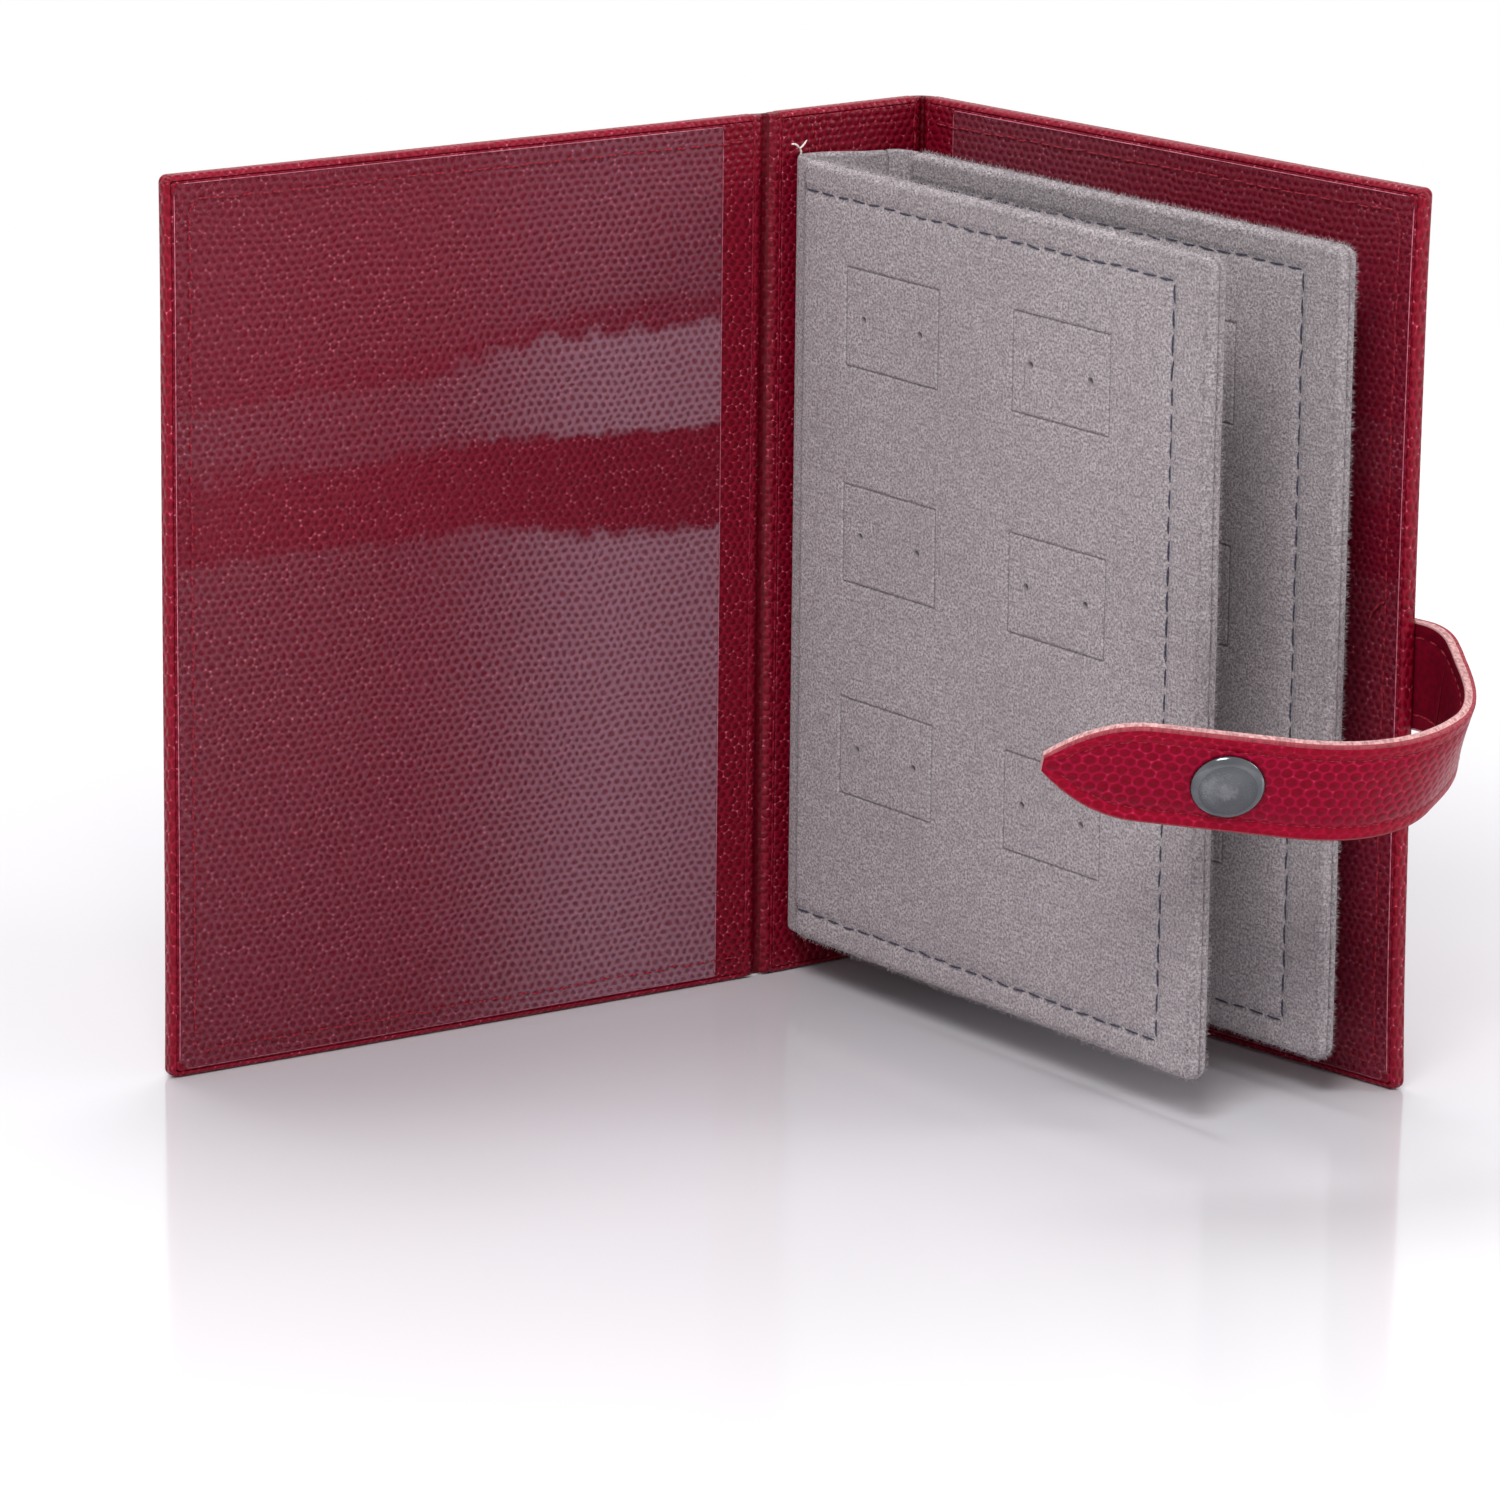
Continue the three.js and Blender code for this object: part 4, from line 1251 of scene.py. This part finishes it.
def strap_stitches(name, start, end, radius):
    """Stitches in the creases along both edges of a stretch of the strap, on both its faces."""

    def crease_at(s, edge):
        point, _, across, out = strap_at(s)
        return point + across * (edge * crease_place(strap_half_width(s))), out

    rows = []
    places = np.arange(start + 1.4, end - 0.8, STRAP_PITCH)
    places = [s for s in places if strap_half_width(s) >= 3.6]
    for edge in (-1, 1):
        for face in (-1, 1):
            centres, ways, outs = [], [], []
            for s in places:
                here, out = crease_at(s, edge)
                centres.append(here + out * face)
                ways.append(crease_at(s + 0.5, edge)[0] - here)
                outs.append(out * face)
            here = AT_BACK(centres)
            ways, outs = (AT_BACK(np.array(centres) + v) - here for v in (ways, outs))
            rows.append(stitches(here, ways, outs, STRAP_STITCH, radius, red_thread))
    return joined(name, rows)


def row_point(s):
    return tuple(AT_BACK([strap_at(s)[0]])[0])


ROOT_END = 8.2
ROOT_BEND, FOLD_BEND = (0.3, 7.7), (47.5, 61.5)
root = strap_piece("strap_root_hide", STRAP_START, ROOT_END + 0.05, [CUT, LEATHER])
root_row = strap_stitches("strap_root_stitches", STRAP_START, ROOT_END, 0.2)
hide = strap_piece("strap_hide", ROOT_END, STRAP_END, [LEATHER, CUT])
hide_row = strap_stitches("strap_stitches", ROOT_END, STRAP_END, 0.12)
for pieces, before, after, ends in (
    ((root, root_row), "back_cover", "strap_band", ROOT_BEND),
    ((hide, hide_row), "strap_band", "strap_tongue", FOLD_BEND),
):
    for piece in pieces:
        row_point(ends[0])
        row_point(ends[1])
        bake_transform(piece)
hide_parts("strap_root_outer", "strap_root_lining", "strap_root_bend")
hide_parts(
    "strap_band_outer", "strap_band_lining", "strap_fold_bend", "strap_tongue_outer",
    "strap_tongue_lining",
)


# snap
def seat(at, point, out, along):
    """Origin, axis and side in the row frame of a round piece that sits at a local point."""
    origin = at([point])[0]
    return origin, *((at([point + np.array(v)])[0] - origin) / MM for v in (out, along))


def turned(name, profile, where, body, node_name, rim=None, look=gunmetal):
    """A round piece from rows of (radius, height) in mm, about the axis of its seat.

    rim gives the first and last row of a band in the bright metal.
    """
    steps = 64
    origin, axis, side = where
    third = np.cross(axis, side)
    points, uvs = [], []
    for (radius, height), run in zip(profile, runs_along(np.array(profile))):
        for i, (c, s) in enumerate(spokes(steps)):
            points.append(origin + ((side * c + third * s) * radius + axis * height) * MM)
            uvs.append((2 * math.pi * i / steps * 5 * MM, run * MM))
    faces = ring_faces(len(profile), steps)
    if profile[0] != profile[-1]:
        faces += end_faces(len(profile), steps)
    slots = np.zeros(len(faces), int)
    if rim is not None:
        slots[rim[0] * steps : rim[1] * steps] = 1
    piece = mesh_piece(name, points, faces, [look, bright_metal], uvs, slots)
    keep(piece, body, "gunmetal", node_name)


CAP = [
    (0.02, 3.25), (1.0, 3.24), (2.0, 3.2), (3.0, 3.12), (3.9, 3.0), (4.6, 2.86), (5.15, 2.7),
    (5.6, 2.52), (5.95, 2.33), (6.22, 2.12), (6.42, 1.9), (6.54, 1.68), (6.58, 1.5), (6.5, 1.32),
    (6.2, 1.18), (5.0, 1.1), (1.3, 1.08), (1.2, -1.2), (0.02, -1.2),
]
SOCKET = [
    (1.15, -1.1), (5.0, -1.1), (5.15, -1.2), (5.2, -1.45), (5.1, -1.9), (4.8, -2.3), (4.4, -2.6),
    (3.9, -2.76), (3.3, -2.78), (2.75, -2.7), (2.5, -2.55), (2.42, -2.3), (2.42, -1.66),
    (2.2, -1.6), (1.15, -1.6), (1.15, -1.1),
]
STUD = [
    (1.05, 0.0), (4.3, 0.0), (4.55, 0.08), (4.6, 0.3), (4.45, 0.55), (4.0, 0.72), (3.0, 0.84),
    (2.1, 0.92), (1.8, 1.04), (1.7, 1.25), (1.76, 1.45), (2.0, 1.62), (2.1, 1.8), (2.06, 1.98),
    (1.9, 2.12), (1.6, 2.2), (1.05, 2.2), (1.05, 0.0),
]
RIVET = [
    (0.02, 2.08), (0.6, 2.06), (0.95, 1.9), (1.0, 1.6), (1.0, -2.1), (3.9, -2.12), (4.0, -2.3),
    (3.9, -2.5), (0.02, -2.52),
]
snap_point, snap_along, _, snap_out = strap_at(SNAP_PLACE)
snap_seat = seat(AT_BACK, snap_point, snap_out, snap_along)
turned("snap_cap_dome", CAP, snap_seat, "strap_tongue", "snap_cap", rim=(6, 11), look=cap_metal)
turned("snap_socket_ring", SOCKET, snap_seat, "strap_tongue", "snap_socket")
stud_point = np.array([COVER - SNAP_INSET, -HALF, SNAP_HEIGHT])
stud_seat = seat(AT_FRONT, stud_point, [0, -1, 0], [1, 0, 0])
turned("snap_stud_post", STUD, stud_seat, "front_cover", "snap_stud")
turned("snap_rivet", RIVET, stud_seat, "front_cover", "stud_eyelet")


# camera, light and floor
FOCAL, PHOTO_SIDE, SENSOR = 7895.3, 1500, 36.0
OFF_RIGHT, OFF_DOWN = 3.4, 1.9
right = Vector((0.8017, -0.5978, 0.0))
ahead = Vector((0.5978, 0.8017, 0.0))
pitch, roll = math.radians(14.26), math.radians(0.64)
forward = ahead * math.cos(pitch) - Vector((0, 0, math.sin(pitch)))
upward = ahead * math.sin(pitch) + Vector((0, 0, math.cos(pitch)))
rolled_right = right * math.cos(roll) + upward * math.sin(roll)
rolled_up = -right * math.sin(roll) + upward * math.cos(roll)
gaze = forward + rolled_right * (OFF_RIGHT / FOCAL) - rolled_up * (OFF_DOWN / FOCAL)
gaze.normalize()
side_way = gaze.cross(rolled_up).normalized()
turn = Matrix((side_way, side_way.cross(gaze), -gaze)).transposed().to_4x4()
camera_data = bpy.data.cameras.new("camera")
camera_data.sensor_width = SENSOR
camera_data.lens = SENSOR * FOCAL / PHOTO_SIDE
camera_data.clip_start = 0.05
camera_data.clip_end = 30.0
camera = linked("camera", camera_data)
camera.matrix_world = Matrix.Translation((-0.8804, -1.1527, 0.4099)) @ turn
scene.camera = camera

LIT_MIDDLE = Vector((0.0, -0.06, 0.08))
LAMPS = {
    "key": ((-0.75, -0.7, 1.05), (0.55, 0.45), 12.5),
    "side": ((0.95, -0.85, 0.6), (0.35, 0.6), 5.0),
    "top": ((0.1, 0.35, 1.1), (0.7, 0.5), 7.0),
}
for lamp_name, (lamp_place, lamp_size, power) in LAMPS.items():
    data = bpy.data.lights.new(lamp_name, "AREA")
    data.shape = "RECTANGLE"
    data.size, data.size_y = lamp_size
    data.energy = power
    lamp = linked(lamp_name, data)
    lamp.location = lamp_place
    lamp.rotation_euler = (LIT_MIDDLE - Vector(lamp_place)).to_track_quat("-Z", "Y").to_euler()

WORLD_LIGHT = 0.54
world = bpy.data.worlds.new("studio")
scene.world = world
world.use_nodes = True
tree = world.node_tree
tree.nodes.clear()
path = node(tree, "ShaderNodeLightPath")
rays = [path.outputs[f"Is {kind} Ray"] for kind in ("Camera", "Transmission", "Glossy")]
seen = math_node(tree, "MAXIMUM", math_node(tree, "MAXIMUM", rays[0], rays[1]), rays[2])
strength = math_node(tree, "MULTIPLY_ADD", seen, 1.0 - WORLD_LIGHT, WORLD_LIGHT)
back = node(tree, "ShaderNodeBackground", {"Color": (1, 1, 1, 1), "Strength": strength})
node(tree, "ShaderNodeOutputWorld", {"Surface": back.outputs[0]})

floor_mesh = bpy.data.meshes.new("floor")
floor_mesh.from_pydata([(-3, -3, 0), (3, -3, 0), (3, 3, 0), (-3, 3, 0)], [], [(0, 1, 2, 3)])
floor = linked("floor", floor_mesh)
floor.location.z = -0.00015
floor_look, tree, shader = new_material("floor", Roughness=0.1, Specular_IOR_Level=0.5)
away = vector_node(tree, "LENGTH", object_place(tree), output="Value")
# Painted shade round the book: the floor colour is darker near the middle and lighter out to 0.46 m.
under, beyond = (0.64, 0.625, 0.66, 1), (0.95, 0.95, 0.955, 1)
tree.links.new(mix(tree, ramp(tree, away, 0.08, 0.46), under, beyond), shader.inputs["Base Color"])
clear = node(tree, "ShaderNodeBsdfTransparent")
fade = {0: ramp(tree, away, 0.3, 0.8), 1: shader.outputs[0], 2: clear.outputs[0]}
both = node(tree, "ShaderNodeMixShader", fade)
tree.links.new(both.outputs[0], tree.nodes["Material Output"].inputs["Surface"])
floor_mesh.materials.append(floor_look)
scene.view_settings.view_transform = "Standard"

bpy.context.view_layer.update()
